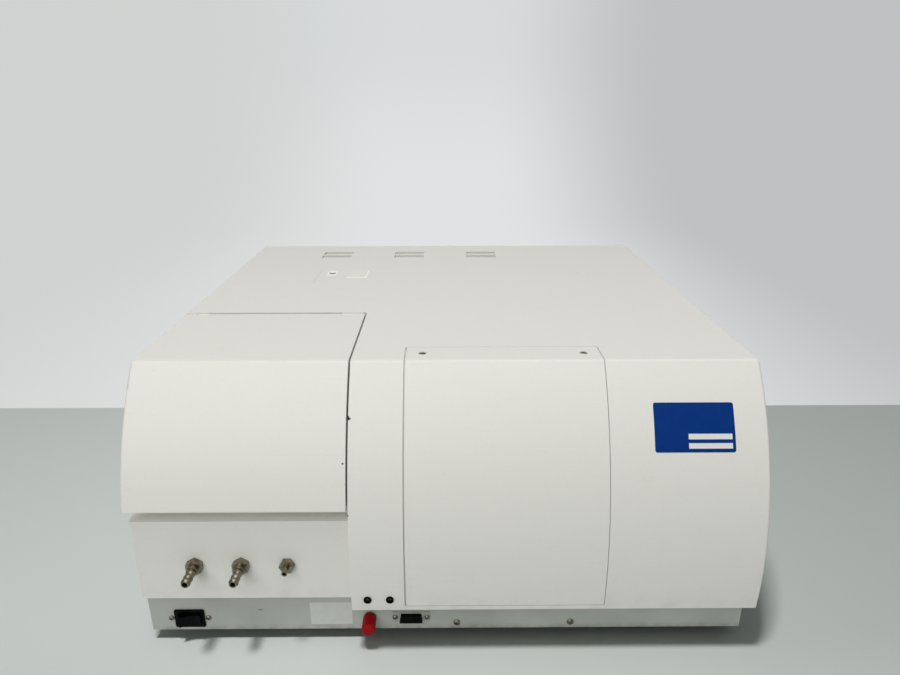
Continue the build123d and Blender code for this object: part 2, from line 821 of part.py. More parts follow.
# Light seal: foam along the panel's ledge and the chamber's side walls
with BuildPart() as light_seal:
    seal_rear = hinge_y - knuckle_radius - 2 * ear_gap
    for x in (chamber_left, chamber_right - chamber_wall):
        cover_slab(skin_wall + lid_seal_gap, chamber_front_top, seal_rear, x, x + chamber_wall)
        cover_slab(chamber_inset, 0, back_y, x - chamber_wall, x + 2 * chamber_wall, Mode.SUBTRACT)
    add(swing_limit.part, mode=Mode.INTERSECT)
    block((chamber_left, chamber_right), (groove_back_y, ledge_back_y), (panel_ledge_top, lid_bottom))
    block((left_knuckle_x + ear_width + ear_gap, right_knuckle_x - ear_gap),
          (chamber_back - chamber_wall, chamber_back), (chamber_top, overall_height - skin_wall - lid_seal_gap))
light_seal.part.label = "light_seal"
export_step(light_seal.part, "parts/light_seal.step")

# Cell holder: water-jacketed block with a square well and windows
with BuildPart() as holder_base:
    with BuildSketch(Plane.XY.offset(chamber_floor)) as base_plan:
        with Locations((cell_x, cell_y)):
            RectangleRounded(holder_base_size, holder_base_size, 2 * holder_corner)
    extrude(amount=holder_base_thick)
    post_reach = holder_base_size / 2 - 2 * holder_post_radius
    for x in (cell_x - post_reach, cell_x + post_reach):
        rod((x, cell_y, holder_bottom), (0, 0, 1), holder_post_radius, holder_post_length)
holder_base.part.label = "holder_base"
export_step(holder_base.part, "parts/holder_base.step")

with BuildPart() as cell_holder:
    with BuildSketch(Plane.XY.offset(holder_bottom)) as holder_plan:
        with Locations((cell_x, cell_y)):
            RectangleRounded(holder_size, holder_size, holder_corner)
    extrude(amount=holder_height)
    with BuildSketch(Plane.XY.offset(holder_bottom + holder_height)) as well_plan:
        with Locations((cell_x, cell_y)):
            Rectangle(cell_size, cell_size)
    extrude(amount=-cell_depth, mode=Mode.SUBTRACT)
    rod((cell_x, cell_y - holder_size, beam_z), (0, 1, 0), holder_window_radius, 2 * holder_size, Mode.SUBTRACT)
    rod((cell_x, cell_y, beam_z), (1, 0, 0), holder_window_radius, holder_size, Mode.SUBTRACT)
    for x in (cell_x - port_spread, cell_x + port_spread):
        rod((x, cell_y - holder_size / 2 - clear_gap, hose_port_height), (0, 1, 0), hose_radius,
            port_depth + clear_gap, Mode.SUBTRACT)
cell_holder.part.label = "cell_holder"
export_step(cell_holder.part, "parts/cell_holder.step")


def corner_radii(points):
    """The largest even arc at each inner corner that its two runs leave room for."""
    radii = []
    for before, at, after in zip(points, points[1:], points[2:]):
        arriving = Vector(*at) - Vector(*before)
        leaving = Vector(*after) - Vector(*at)
        half_turn = radians(arriving.get_angle(leaving)) / 2
        radii.append(0.45 * min(arriving.length, leaving.length) / tan(half_turn))
    return radii


def hose(points, radius):
    """A round hose along straight runs joined by arcs."""
    with BuildLine() as route:
        FilletPolyline(*points, radius=corner_radii(points))
    with BuildSketch(Plane(origin=points[0], z_dir=route.line % 0)) as ring:
        Circle(radius)
    with BuildPart() as tube:
        sweep(ring.sketch, path=route.line)
    return tube.part


holder_front_y = cell_y - holder_size / 2
with BuildPart() as chamber_hoses:
    for x, port_x in ((nozzle_x[0], cell_x - port_spread), (nozzle_x[1], cell_x + port_spread)):
        run_in = (tail_end_y + (holder_front_y - tail_end_y) * 0.35)
        run_out = (tail_end_y + (holder_front_y - tail_end_y) * 0.72)
        add(hose([(x, tail_end_y, nozzle_height), (x, run_in, nozzle_height),
                  (port_x, run_out, hose_port_height),
                  (port_x, holder_front_y + port_depth, hose_port_height)], hose_radius))
    air_end_x = cell_x + holder_size / 2 + 3 * air_hose_radius
    add(hose([(nozzle_x[2], tail_end_y, nozzle_height),
              (nozzle_x[2], tail_end_y + 0.4 * (cell_y - tail_end_y), nozzle_height),
              (air_end_x, cell_y - 0.3 * (cell_y - tail_end_y), hose_port_height),
              (air_end_x, cell_y - holder_window_radius, hose_port_height)], air_hose_radius))
chamber_hoses.part.label = "chamber_hoses"
export_step(chamber_hoses.part, "parts/chamber_hoses.step")


# Nozzles: hexagon body, collar and a barbed tube, bored through
def water_nozzle(x):
    """A barbed water nozzle, turned about its own axis, with its hexagon on the panel."""
    reach = panel_front_y - nozzle_tip_y
    barb_length = (reach - hex_thick - collar_length) / barb_count
    with BuildSketch(Plane.XZ) as section:
        with BuildLine():
            points = [(nozzle_bore_radius, -tail_length), (tail_radius, -tail_length), (tail_radius, 0),
                      (collar_radius, 0), (collar_radius, hex_thick + collar_length),
                      (barb_neck_radius, hex_thick + collar_length)]
            for i in range(barb_count):
                low = hex_thick + collar_length + i * barb_length
                points += [(barb_neck_radius, low + 0.25 * barb_length), (barb_radius, low + 0.4 * barb_length),
                           (barb_radius, low + 0.6 * barb_length), (barb_neck_radius, low + barb_length)]
            points.append((nozzle_bore_radius, reach))
            Polyline(*points, close=True)
        make_face()
    with BuildPart() as nozzle:
        add(section.sketch)
        revolve(axis=Axis.Z)
        with BuildSketch() as hexagon:
            RegularPolygon(hex_across / 2, 6, major_radius=False)
            Circle(nozzle_bore_radius, mode=Mode.SUBTRACT)
        extrude(amount=hex_thick)
    return nozzle.part.moved(Plane(origin=(x, panel_front_y, nozzle_height), z_dir=(0, -1, 0)).location)


with BuildPart() as water_inlet:
    add(water_nozzle(nozzle_x[0]))
water_inlet.part.label = "water_inlet"
export_step(water_inlet.part, "parts/water_inlet.step")

with BuildPart() as water_outlet:
    add(water_nozzle(nozzle_x[1]))
water_outlet.part.label = "water_outlet"
export_step(water_outlet.part, "parts/water_outlet.step")

with BuildPart() as dry_air_inlet:
    with BuildSketch(Plane.XZ.offset(-panel_front_y)) as air_hexagon:
        with Locations((nozzle_x[2], nozzle_height)):
            RegularPolygon(small_hex_across / 2, 6, major_radius=False)
    extrude(amount=small_hex_thick)
    rod((nozzle_x[2], tail_end_y, nozzle_height), (0, -1, 0), tail_radius, tail_length)
    rod((nozzle_x[2], panel_front_y, nozzle_height), (0, -1, 0), air_tube_radius, air_reach)
    rod((nozzle_x[2], tail_end_y + skin_wall, nozzle_height), (0, -1, 0), air_bore_radius,
        tail_length + air_reach + 2 * skin_wall, Mode.SUBTRACT)
dry_air_inlet.part.label = "dry_air_inlet"
export_step(dry_air_inlet.part, "parts/dry_air_inlet.step")

with BuildPart() as nozzle_nuts:
    for x in nozzle_x:
        with BuildSketch(Plane.XZ.offset(-(panel_front_y + skin_wall))) as nut_plan:
            with Locations((x, nozzle_height)):
                RegularPolygon(nut_across / 2, 6, major_radius=False)
                Circle(tail_radius, mode=Mode.SUBTRACT)
        extrude(nut_plan.sketch, amount=-nut_thick)
nozzle_nuts.part.label = "nozzle_nuts"
export_step(nozzle_nuts.part, "parts/nozzle_nuts.step")

# Lens barrels in the chamber's back and right walls, and their lenses
lens_middle = barrel_length / 2
with BuildPart() as barrel_body:
    Cylinder(barrel_radius, barrel_length, align=(Align.CENTER, Align.CENTER, Align.MIN))
    Cylinder(lens_radius, barrel_length, align=(Align.CENTER, Align.CENTER, Align.MIN), mode=Mode.SUBTRACT)
lens_curve = (lens_radius**2 + lens_bulge**2) / (2 * lens_bulge)
lens_half = lens_edge / 2 + lens_bulge
with BuildPart() as lens_body:
    with Locations((0, 0, lens_middle)):
        Cylinder(lens_radius, 2 * lens_half)
    with Locations((0, 0, lens_middle - lens_curve + lens_half)):
        Sphere(lens_curve, mode=Mode.INTERSECT)
    with Locations((0, 0, lens_middle + lens_curve - lens_half)):
        Sphere(lens_curve, mode=Mode.INTERSECT)
excitation_barrel_place = Plane(origin=(cell_x, chamber_back, beam_z), z_dir=(0, -1, 0)).location
emission_barrel_place = Plane(origin=(chamber_right, cell_y, beam_z), z_dir=(-1, 0, 0)).location
with BuildPart() as lens_barrels:
    add(barrel_body.part.moved(excitation_barrel_place))
    add(barrel_body.part.moved(emission_barrel_place))
lens_barrels.part.label = "lens_barrels"
export_step(lens_barrels.part, "parts/lens_barrels.step")

with BuildPart() as condenser_lenses:
    add(lens_body.part.moved(excitation_barrel_place))
    add(lens_body.part.moved(emission_barrel_place))
condenser_lenses.part.label = "condenser_lenses"
export_step(condenser_lenses.part, "parts/condenser_lenses.step")

# Status lamps: black bezels through the fascia, with a lens in each
with BuildPart() as status_lamp_bezels:
    bezel_y = front_at(status_lamp_height + bezel_radius)
    for x in status_lamp_x:
        rod((x, bezel_y - bezel_stand, status_lamp_height), (0, 1, 0), bezel_radius, bezel_stand)
        rod((x, bezel_y, status_lamp_height), (0, 1, 0), bezel_body_radius, bezel_body_length)
        rod((x, bezel_y - 2 * bezel_stand, status_lamp_height), (0, 1, 0), bezel_bore_radius,
            bezel_body_length + 4 * bezel_stand, Mode.SUBTRACT)
status_lamp_bezels.part.label = "status_lamp_bezels"
export_step(status_lamp_bezels.part, "parts/status_lamp_bezels.step")

with BuildPart() as status_lamps:
    for x in status_lamp_x:
        rod((x, bezel_y - bezel_stand + lamp_sink + bezel_bore_radius, status_lamp_height), (0, 1, 0),
            bezel_bore_radius, bezel_body_length - bezel_bore_radius)
        with Locations((x, bezel_y - bezel_stand + lamp_sink + bezel_bore_radius, status_lamp_height)):
            Sphere(bezel_bore_radius)
status_lamps.part.label = "status_lamps"
export_step(status_lamps.part, "parts/status_lamps.step")

# Power switch: a black housing in the base front and its rocker
rocker_half = switch_body_width / 2 - switch_wall - rocker_gap
rocker_reach = switch_body_height / 2 - switch_wall - rocker_gap
rocker_pivot_y = base_front_y + rocker_pin_radius
with BuildPart() as power_switch_body:
    block((switch_x - switch_width / 2, switch_x + switch_width / 2), (base_front_y - switch_flange, base_front_y),
          (port_height - switch_height / 2, port_height + switch_height / 2))
    fillet(power_switch_body.edges().filter_by(Axis.Y), switch_wall)
    block((switch_x - switch_body_width / 2, switch_x + switch_body_width / 2),
          (base_front_y, base_front_y + switch_body_depth),
          (port_height - switch_body_height / 2, port_height + switch_body_height / 2))
    block((switch_x - switch_body_width / 2 + switch_wall, switch_x + switch_body_width / 2 - switch_wall),
          (base_front_y - 2 * switch_flange, base_front_y + switch_body_depth - switch_wall),
          (port_height - switch_body_height / 2 + switch_wall, port_height + switch_body_height / 2 - switch_wall),
          Mode.SUBTRACT)
    for side in (-1, 1):
        rod((switch_x, rocker_pivot_y, port_height + side * (switch_body_height / 2 - switch_wall / 2)),
            (0, 0, -side), rocker_pin_radius, switch_wall / 2 + rocker_gap + switch_wall)
power_switch_body.part.label = "power_switch_body"
export_step(power_switch_body.part, "parts/power_switch_body.step")

with BuildPart() as power_rocker:
    with BuildSketch(Plane.XY.offset(port_height - rocker_reach)) as rocker_plan:
        with BuildLine():
            dish = rocker_half * tan(radians(rocker_tilt))
            back_half = rocker_half - rocker_depth * sin(radians(rocker_tilt))
            Polyline((-rocker_half, -rocker_stand), (-rocker_half, 0), (-back_half, rocker_depth - rocker_pin_radius),
                     (back_half, rocker_depth - rocker_pin_radius), (rocker_half, 0), (rocker_half, -rocker_stand))
            ThreePointArc((rocker_half, -rocker_stand), (0, -rocker_stand + dish), (-rocker_half, -rocker_stand))
        make_face()
    extrude(amount=2 * rocker_reach)
    rod((0, 0, port_height - 2 * rocker_reach), (0, 0, 1), rocker_pin_radius + running_gap,
        4 * rocker_reach, Mode.SUBTRACT)
rocker_part = power_rocker.part.rotate(Axis.Z, rocker_tilt).moved(Location((switch_x, rocker_pivot_y, 0)))
with BuildPart() as placed_rocker:
    add(rocker_part)
placed_rocker.part.label = "power_rocker"
export_step(placed_rocker.part, "parts/power_rocker.step")

# Capped socket: a threaded socket with a flange, and the soft cap pushed over it
with BuildPart() as capped_socket:
    rod((capped_socket_x, base_front_y, port_height), (0, -1, 0), socket_flange_radius, socket_flange_thick)
    rod((capped_socket_x, base_front_y, port_height), (0, -1, 0), socket_thread_radius, socket_length)
    rod((capped_socket_x, base_front_y, port_height), (0, 1, 0), socket_thread_radius, socket_tail_length)
    rod((capped_socket_x, base_front_y - 2 * socket_length, port_height), (0, 1, 0), socket_bore_radius,
        2 * socket_length - base_wall, Mode.SUBTRACT)
capped_socket.part.label = "capped_socket"
export_step(capped_socket.part, "parts/capped_socket.step")

with BuildPart() as red_cap:
    rod((capped_socket_x, base_front_y - cap_start, port_height), (0, -1, 0), cap_radius, cap_length)
    fillet(red_cap.faces().sort_by(Axis.Y)[0].edges(), cap_round)
    rod((capped_socket_x, base_front_y, port_height), (0, -1, 0), socket_thread_radius + running_gap,
        socket_length + running_gap, Mode.SUBTRACT)
red_cap.part.label = "red_cap"
export_step(red_cap.part, "parts/red_cap.step")

# Data socket: plate, trapezoid shell and contact holes
with BuildPart() as data_socket:
    block((data_socket_x - data_plate_width / 2, data_socket_x + data_plate_width / 2),
          (base_front_y - data_plate_thick, base_front_y),
          (port_height - data_plate_height / 2, port_height + data_plate_height / 2))
    with BuildSketch(Plane.XZ.offset(-base_front_y + data_plate_thick)) as shell_plan:
        with Locations((data_socket_x, port_height)):
            Trapezoid(data_socket_width, data_socket_height, 80)
        fillet(shell_plan.vertices(), data_socket_wall)
    extrude(amount=data_socket_stand - data_plate_thick)
    block((data_socket_x - data_socket_width / 2, data_socket_x + data_socket_width / 2),
          (base_front_y, base_front_y + data_body_depth),
          (port_height - data_socket_height / 2, port_height + data_socket_height / 2))
    for row, count in ((-1, 7), (1, 8)):
        for i in range(count):
            pin_x = data_socket_x + (i - (count - 1) / 2) * data_pin_pitch
            rod((pin_x, base_front_y - 2 * data_socket_stand, port_height - row * data_pin_pitch / 2), (0, 1, 0),
                data_pin_radius, 2 * data_socket_stand, Mode.SUBTRACT)
    for x in (data_socket_x - data_screw_pitch / 2, data_socket_x + data_screw_pitch / 2):
        rod((x, base_front_y - 2 * data_plate_thick, port_height), (0, 1, 0), small_shank_radius,
            4 * data_plate_thick, Mode.SUBTRACT)
data_socket.part.label = "data_socket"
export_step(data_socket.part, "parts/data_socket.step")

with BuildPart() as small_screws:
    for x in (switch_x - switch_screw_pitch / 2, switch_x + switch_screw_pitch / 2):
        add(pan_screw((x, base_front_y, port_height), (0, -1, 0), small_head_radius, small_head_height,
                      small_shank_radius, small_screw_length))
    for x in (data_socket_x - data_screw_pitch / 2, data_socket_x + data_screw_pitch / 2):
        add(pan_screw((x, base_front_y - data_plate_thick, port_height), (0, -1, 0), small_head_radius,
                      small_head_height, small_shank_radius, small_screw_length))
small_screws.part.label = "small_screws"
export_step(small_screws.part, "parts/small_screws.step")

# Optics plate: a ribbed casting on rubber mounts
plate_x = (-base_half + plate_left_gap, plate_right)
plate_y = (base_front_y + plate_front_gap, base_back_y - plate_back_gap)
mount_spots = [(x, y) for x in (plate_x[0] + mount_inset, plate_x[1] - mount_inset)
               for y in (plate_y[0] + mount_inset, plate_y[1] - mount_inset)]
with BuildPart() as optics_plate:
    block(plate_x, plate_y, (plate_top - plate_skin, plate_top))
    with BuildSketch(Plane.XY.offset(plate_bottom)) as rib_plan:
        plate_width = plate_x[1] - plate_x[0]
        plate_length = plate_y[1] - plate_y[0]
        with Locations((sum(plate_x) / 2, sum(plate_y) / 2)):
            Rectangle(plate_width, plate_length)
            Rectangle(plate_width - 2 * plate_rib, plate_length - 2 * plate_rib, mode=Mode.SUBTRACT)
            Rectangle(plate_width, plate_rib)
            Rectangle(plate_rib, plate_length)
        with Locations(*mount_spots):
            Circle(mount_radius)
        with Locations(excitation_table, emission_table):
            Rectangle(motor_size, motor_size)
    extrude(amount=plate_thick - plate_skin)
    for x, y in (excitation_table, emission_table):
        rod((x, y, plate_bottom - plate_thick), (0, 0, 1), shaft_radius + clear_gap, 3 * plate_thick, Mode.SUBTRACT)
optics_plate.part.label = "optics_plate"
export_step(optics_plate.part, "parts/optics_plate.step")

with BuildPart() as optics_mounts:
    for x, y in mount_spots:
        rod((x, y, floor_top), (0, 0, 1), mount_radius, mount_height)
optics_mounts.part.label = "optics_mounts"
export_step(optics_mounts.part, "parts/optics_mounts.step")

# Monochromator housings: open-topped castings with a bearing hole and beam openings
excitation_x = (excitation_left, excitation_right)
excitation_y = (excitation_front, excitation_back)
emission_x = (emission_left, emission_right)
emission_y = (emission_front, emission_back)
with BuildPart() as excitation_housing:
    block(excitation_x, excitation_y, (plate_top, housing_top))
    block((excitation_x[0] + housing_wall, excitation_x[1] - housing_wall),
          (excitation_y[0] + housing_wall, partition_y), (housing_floor, 2 * housing_top), Mode.SUBTRACT)
    block((excitation_x[0] + housing_wall, excitation_x[1] - housing_wall),
          (partition_y + housing_wall, excitation_y[1] - housing_wall), (housing_floor, 2 * housing_top),
          Mode.SUBTRACT)
    rod((cell_x, excitation_y[0] - housing_wall, beam_z), (0, 1, 0), beam_hole_radius, 3 * housing_wall, Mode.SUBTRACT)
    rod((cell_x, partition_y - housing_wall, beam_z), (0, 1, 0), slit_height, 3 * housing_wall, Mode.SUBTRACT)
    rod((cell_x + slit_ring_radius, partition_y - housing_wall, beam_z), (0, 1, 0),
        slit_spindle_radius + running_gap, 3 * housing_wall, Mode.SUBTRACT)
    rod((fold_mirror_x, excitation_y[1] - 2 * housing_wall, beam_z), (0, 1, 0), beam_hole_radius,
        3 * housing_wall, Mode.SUBTRACT)
    rod((*excitation_table, plate_top - housing_wall), (0, 0, 1), shaft_radius + running_gap,
        3 * housing_wall, Mode.SUBTRACT)
    with Locations(Location((cell_x, splitter_y, beam_z), (0, 0, splitter_turn))):
        Box(splitter_frame, splitter_width + 2 * splitter_frame, splitter_height + 2 * splitter_frame)
        Box(2 * splitter_frame, splitter_width, splitter_height, mode=Mode.SUBTRACT)
    rod((cell_x, splitter_y, housing_floor), (0, 0, 1), splitter_post_radius,
        beam_z - splitter_height / 2 - splitter_frame / 2 - housing_floor)
excitation_housing.part.label = "excitation_housing"
export_step(excitation_housing.part, "parts/excitation_housing.step")

with BuildPart() as emission_housing:
    block(emission_x, emission_y, (plate_top, housing_top))
    block((emission_x[0] + housing_wall, emission_x[1] - housing_wall),
          (emission_y[0] + housing_wall, emission_y[1] - housing_wall), (housing_floor, 2 * housing_top),
          Mode.SUBTRACT)
    rod((emission_x[0] - housing_wall, cell_y, beam_z), (1, 0, 0), slit_height, 3 * housing_wall, Mode.SUBTRACT)
    rod((emission_x[0] - housing_wall, cell_y + slit_ring_radius, beam_z), (1, 0, 0),
        slit_spindle_radius + running_gap, 3 * housing_wall, Mode.SUBTRACT)
    rod((tube_x, emission_y[1] - 2 * housing_wall, beam_z), (0, 1, 0), tube_window_radius,
        3 * housing_wall, Mode.SUBTRACT)
    rod((*emission_table, plate_top - housing_wall), (0, 0, 1), shaft_radius + running_gap,
        3 * housing_wall, Mode.SUBTRACT)
emission_housing.part.label = "emission_housing"
export_step(emission_housing.part, "parts/emission_housing.step")

with BuildPart() as housing_lids:
    block(excitation_x, excitation_y, (housing_top, housing_top + housing_lid_thick))
    block(emission_x, emission_y, (housing_top, housing_top + housing_lid_thick))
    fillet(housing_lids.edges().filter_by(Axis.Z), edge_round)
housing_lids.part.label = "housing_lids"
export_step(housing_lids.part, "parts/housing_lids.step")


# Gratings on their turntables, each with its face over the turning axis
table_top = beam_z - grating_size / 2
table_bottom = table_top - table_thick


def grating(centre, facing):
    """A square block with a slightly hollow face over the axis, facing a direction in degrees."""
    with BuildPart() as body:
        with Locations((0, 0, beam_z)):
            Box(grating_thick, grating_size, grating_size, align=(Align.MAX, Align.CENTER, Align.CENTER))
        with Locations((grating_hollow_radius - clear_gap, 0, beam_z)):
            Cylinder(grating_hollow_radius, 2 * grating_size, mode=Mode.SUBTRACT)
    return body.part.rotate(Axis.Z, facing).moved(Location((*centre, 0)))


def turntable(centre):
    """A round table on a shaft that runs down into its motor."""
    with BuildPart() as body:
        rod((*centre, table_bottom), (0, 0, 1), table_radius, table_thick)
        rod((*centre, plate_bottom - shaft_reach), (0, 0, 1), shaft_radius, table_bottom - plate_bottom + shaft_reach)
    return body.part


def facing_between(centre, first, second):
    """The direction halfway between two targets seen from a centre, in degrees."""
    first_way = Vector(first[0] - centre[0], first[1] - centre[1]).normalized()
    second_way = Vector(second[0] - centre[0], second[1] - centre[1]).normalized()
    middle_way = first_way + second_way
    return degrees(atan2(middle_way.Y, middle_way.X))


excitation_facing = facing_between(excitation_table, (fold_mirror_x, fold_mirror_y), (cell_x, partition_y))
emission_facing = facing_between(emission_table, (emission_left, cell_y), (tube_x, emission_back))
with BuildPart() as excitation_grating:
    add(grating(excitation_table, excitation_facing))
excitation_grating.part.label = "excitation_grating"
export_step(excitation_grating.part, "parts/excitation_grating.step")

with BuildPart() as emission_grating:
    add(grating(emission_table, emission_facing))
emission_grating.part.label = "emission_grating"
export_step(emission_grating.part, "parts/emission_grating.step")

with BuildPart() as excitation_turntable:
    add(turntable(excitation_table))
excitation_turntable.part.label = "excitation_turntable"
export_step(excitation_turntable.part, "parts/excitation_turntable.step")

with BuildPart() as emission_turntable:
    add(turntable(emission_table))
emission_turntable.part.label = "emission_turntable"
export_step(emission_turntable.part, "parts/emission_turntable.step")

# Stepper motors hung under the plate, bored for the shafts
with BuildPart() as grating_motors:
    for x, y in (excitation_table, emission_table):
        with Locations((x, y, plate_bottom)):
            Box(motor_size, motor_size, motor_height, align=(Align.CENTER, Align.CENTER, Align.MAX))
    fillet(grating_motors.edges().filter_by(Axis.Z), edge_round)
    for x, y in (excitation_table, emission_table):
        rod((x, y, plate_bottom + clear_gap), (0, 0, -1), shaft_radius + running_gap,
            shaft_reach + 2 * clear_gap, Mode.SUBTRACT)
grating_motors.part.label = "grating_motors"
export_step(grating_motors.part, "parts/grating_motors.step")


def slit_wheel(place):
    """A thin wheel with slits of four widths round a ring, on a spindle; its axis is local Z."""
    with BuildPart() as wheel:
        Cylinder(slit_wheel_radius, slit_wheel_thick, align=(Align.CENTER, Align.CENTER, Align.MIN))
        with Locations((0, 0, slit_wheel_thick)):
            Cylinder(slit_hub_radius, slit_hub_length, align=(Align.CENTER, Align.CENTER, Align.MIN))
        with Locations((0, 0, -slit_wheel_gap - housing_wall)):
            Cylinder(slit_spindle_radius, slit_wheel_gap + housing_wall + slit_wheel_thick,
                     align=(Align.CENTER, Align.CENTER, Align.MIN))
        for i, width in enumerate(slit_widths):
            turn = 360 * i / len(slit_widths)
            with Locations(Location((0, 0, 0), (0, 0, turn))):
                with Locations((slit_ring_radius, 0, slit_wheel_thick / 2)):
                    Box(slit_height, width, 2 * slit_wheel_thick, mode=Mode.SUBTRACT)
    return wheel.part.moved(place)


with BuildPart() as excitation_slit_wheel:
    add(slit_wheel(Plane(origin=(cell_x + slit_ring_radius, partition_y - slit_wheel_gap, beam_z),
                         x_dir=(1, 0, 0), z_dir=(0, -1, 0)).location))
excitation_slit_wheel.part.label = "excitation_slit_wheel"
export_step(excitation_slit_wheel.part, "parts/excitation_slit_wheel.step")

with BuildPart() as emission_slit_wheel:
    add(slit_wheel(Plane(origin=(emission_left + housing_wall + slit_wheel_gap, cell_y + slit_ring_radius, beam_z),
                         x_dir=(0, 1, 0), z_dir=(1, 0, 0)).location))
emission_slit_wheel.part.label = "emission_slit_wheel"
export_step(emission_slit_wheel.part, "parts/emission_slit_wheel.step")

# Fold mirror between the lamp's opening and the excitation grating
fold_facing = facing_between((fold_mirror_x, fold_mirror_y), (fold_mirror_x, excitation_back), excitation_table)
with BuildPart() as fold_mirror:
    with Locations((0, 0, beam_z)):
        Box(fold_mirror_thick, fold_mirror_size, fold_mirror_size, align=(Align.MAX, Align.CENTER, Align.CENTER))
    block((-fold_foot_size / 2 - fold_mirror_thick, fold_foot_size / 2 - fold_mirror_thick),
          (-fold_foot_size / 2, fold_foot_size / 2), (housing_floor, housing_floor + fold_foot_height))
fold_part = fold_mirror.part.rotate(Axis.Z, fold_facing).moved(Location((fold_mirror_x, fold_mirror_y, 0)))
with BuildPart() as placed_fold_mirror:
    add(fold_part)
placed_fold_mirror.part.label = "fold_mirror"
export_step(placed_fold_mirror.part, "parts/fold_mirror.step")

# Shutter: a blade on the solenoid's shaft, closed across the beam at rest
solenoid_x = cell_x + solenoid_offset_x
solenoid_z = beam_z + solenoid_offset_z
wall_face_y = excitation_front + housing_wall
with BuildPart() as shutter_solenoid:
    rod((solenoid_x, wall_face_y, solenoid_z), (0, 1, 0), solenoid_radius, solenoid_length)
    fillet(shutter_solenoid.faces().sort_by(Axis.Y)[-1].edges(), 1.5)
    rod((solenoid_x, wall_face_y + solenoid_length + clear_gap, solenoid_z), (0, -1, 0),
        shutter_shaft_radius + running_gap, solenoid_length / 2, Mode.SUBTRACT)
shutter_solenoid.part.label = "shutter_solenoid"
export_step(shutter_solenoid.part, "parts/shutter_solenoid.step")

shutter_y = wall_face_y + solenoid_length + clear_gap
shutter_arm = sqrt(solenoid_offset_x**2 + solenoid_offset_z**2)
shutter_turn = degrees(atan2(-solenoid_offset_z, -solenoid_offset_x))
with BuildPart() as shutter_blade:
    with BuildSketch(Plane(origin=(0, 0, 0), x_dir=(1, 0, 0), z_dir=(0, -1, 0))) as blade_plan:
        with Locations(Location((shutter_arm / 2, 0, 0))):
            Rectangle(shutter_arm, shutter_arm_width)
        with Locations((shutter_arm, 0)):
            Circle(shutter_disc_radius)
        Circle(shutter_arm_width / 2 + shutter_shaft_radius)
    extrude(amount=-shutter_thick)
    rod((0, shutter_thick, 0), (0, -1, 0), shutter_shaft_radius, shutter_thick + clear_gap + solenoid_length / 3)
blade_part = shutter_blade.part.rotate(Axis.Y, -shutter_turn).moved(Location((solenoid_x, shutter_y, solenoid_z)))
with BuildPart() as placed_shutter:
    add(blade_part)
placed_shutter.part.label = "shutter_blade"
export_step(placed_shutter.part, "parts/shutter_blade.step")

# Beam splitter: a thin plate in the frame cast into the housing, turned to the monitor detector
with BuildPart() as beam_splitter:
    with Locations(Location((cell_x, splitter_y, beam_z), (0, 0, splitter_turn))):
        Box(splitter_thick, splitter_width, splitter_height)
beam_splitter.part.label = "beam_splitter"
export_step(beam_splitter.part, "parts/beam_splitter.step")

with BuildPart() as monitor_detector:
    monitor_x = cell_x - monitor_offset
    block((monitor_x - monitor_size / 2, monitor_x + monitor_size / 2),
          (splitter_y - monitor_size / 2, splitter_y + monitor_size / 2),
          (housing_floor, housing_floor + monitor_height))
    fillet(monitor_detector.edges().filter_by(Axis.Z), holder_corner)
    rod((monitor_x + monitor_size / 2, splitter_y, beam_z), (-1, 0, 0), monitor_bore_radius,
        monitor_bore_depth, Mode.SUBTRACT)
monitor_detector.part.label = "monitor_detector"
export_step(monitor_detector.part, "parts/monitor_detector.step")

# Photomultiplier in its screened housing
tube_y = emission_back + tube_housing_gap + tube_housing_size / 2
with BuildPart() as tube_housing:
    block((tube_x - tube_housing_size / 2, tube_x + tube_housing_size / 2),
          (tube_y - tube_housing_size / 2, tube_y + tube_housing_size / 2),
          (plate_top, plate_top + tube_housing_height))
    fillet(tube_housing.edges().filter_by(Axis.Z), 2 * edge_round)
    rod((tube_x, tube_y, plate_top + tube_housing_wall), (0, 0, 1), tube_housing_size / 2 - tube_housing_wall,
        tube_housing_height - 2 * tube_housing_wall, Mode.SUBTRACT)
    rod((tube_x, tube_y - tube_housing_size, beam_z), (0, 1, 0), tube_window_radius, tube_housing_size, Mode.SUBTRACT)
tube_housing.part.label = "tube_housing"
export_step(tube_housing.part, "parts/tube_housing.step")

with BuildPart() as photomultiplier:
    rod((tube_x, tube_y, plate_top + tube_housing_wall), (0, 0, 1), tube_base_radius, tube_base_height)
    rod((tube_x, tube_y, plate_top + tube_housing_wall + tube_base_height), (0, 0, 1), tube_radius, tube_length)
    fillet(photomultiplier.faces().sort_by(Axis.Z)[-1].edges(), edge_round)
photomultiplier.part.label = "photomultiplier"
export_step(photomultiplier.part, "parts/photomultiplier.step")

# Lamp house: a sheet box with cooling slots in its roof
lamp_house_top = plate_top + lamp_house_height
fan_x = lamp_x
with BuildPart() as lamp_house:
    block((lamp_house_left, lamp_house_right), (lamp_house_front, lamp_house_back), (plate_top, lamp_house_top))
    block((lamp_house_left + lamp_house_wall, lamp_house_right - lamp_house_wall),
          (lamp_house_front + lamp_house_wall, lamp_house_back - lamp_house_wall),
          (0, lamp_house_top - lamp_house_wall), Mode.SUBTRACT)
    rod((lamp_x, lamp_house_front - lamp_house_wall, beam_z), (0, 1, 0), beam_hole_radius,
        3 * lamp_house_wall, Mode.SUBTRACT)
    rod((fan_x, lamp_house_back + lamp_house_wall, fan_height), (0, -1, 0), fan_bore_radius,
        3 * lamp_house_wall, Mode.SUBTRACT)
    for i in range(lamp_slot_count):
        slot_x = lamp_x + (i - (lamp_slot_count - 1) / 2) * lamp_slot_pitch
        with Locations((slot_x, lamp_y, lamp_house_top)):
            Box(lamp_slot_width, lamp_slot_length, 4 * lamp_house_wall, mode=Mode.SUBTRACT)
lamp_house.part.label = "lamp_house"
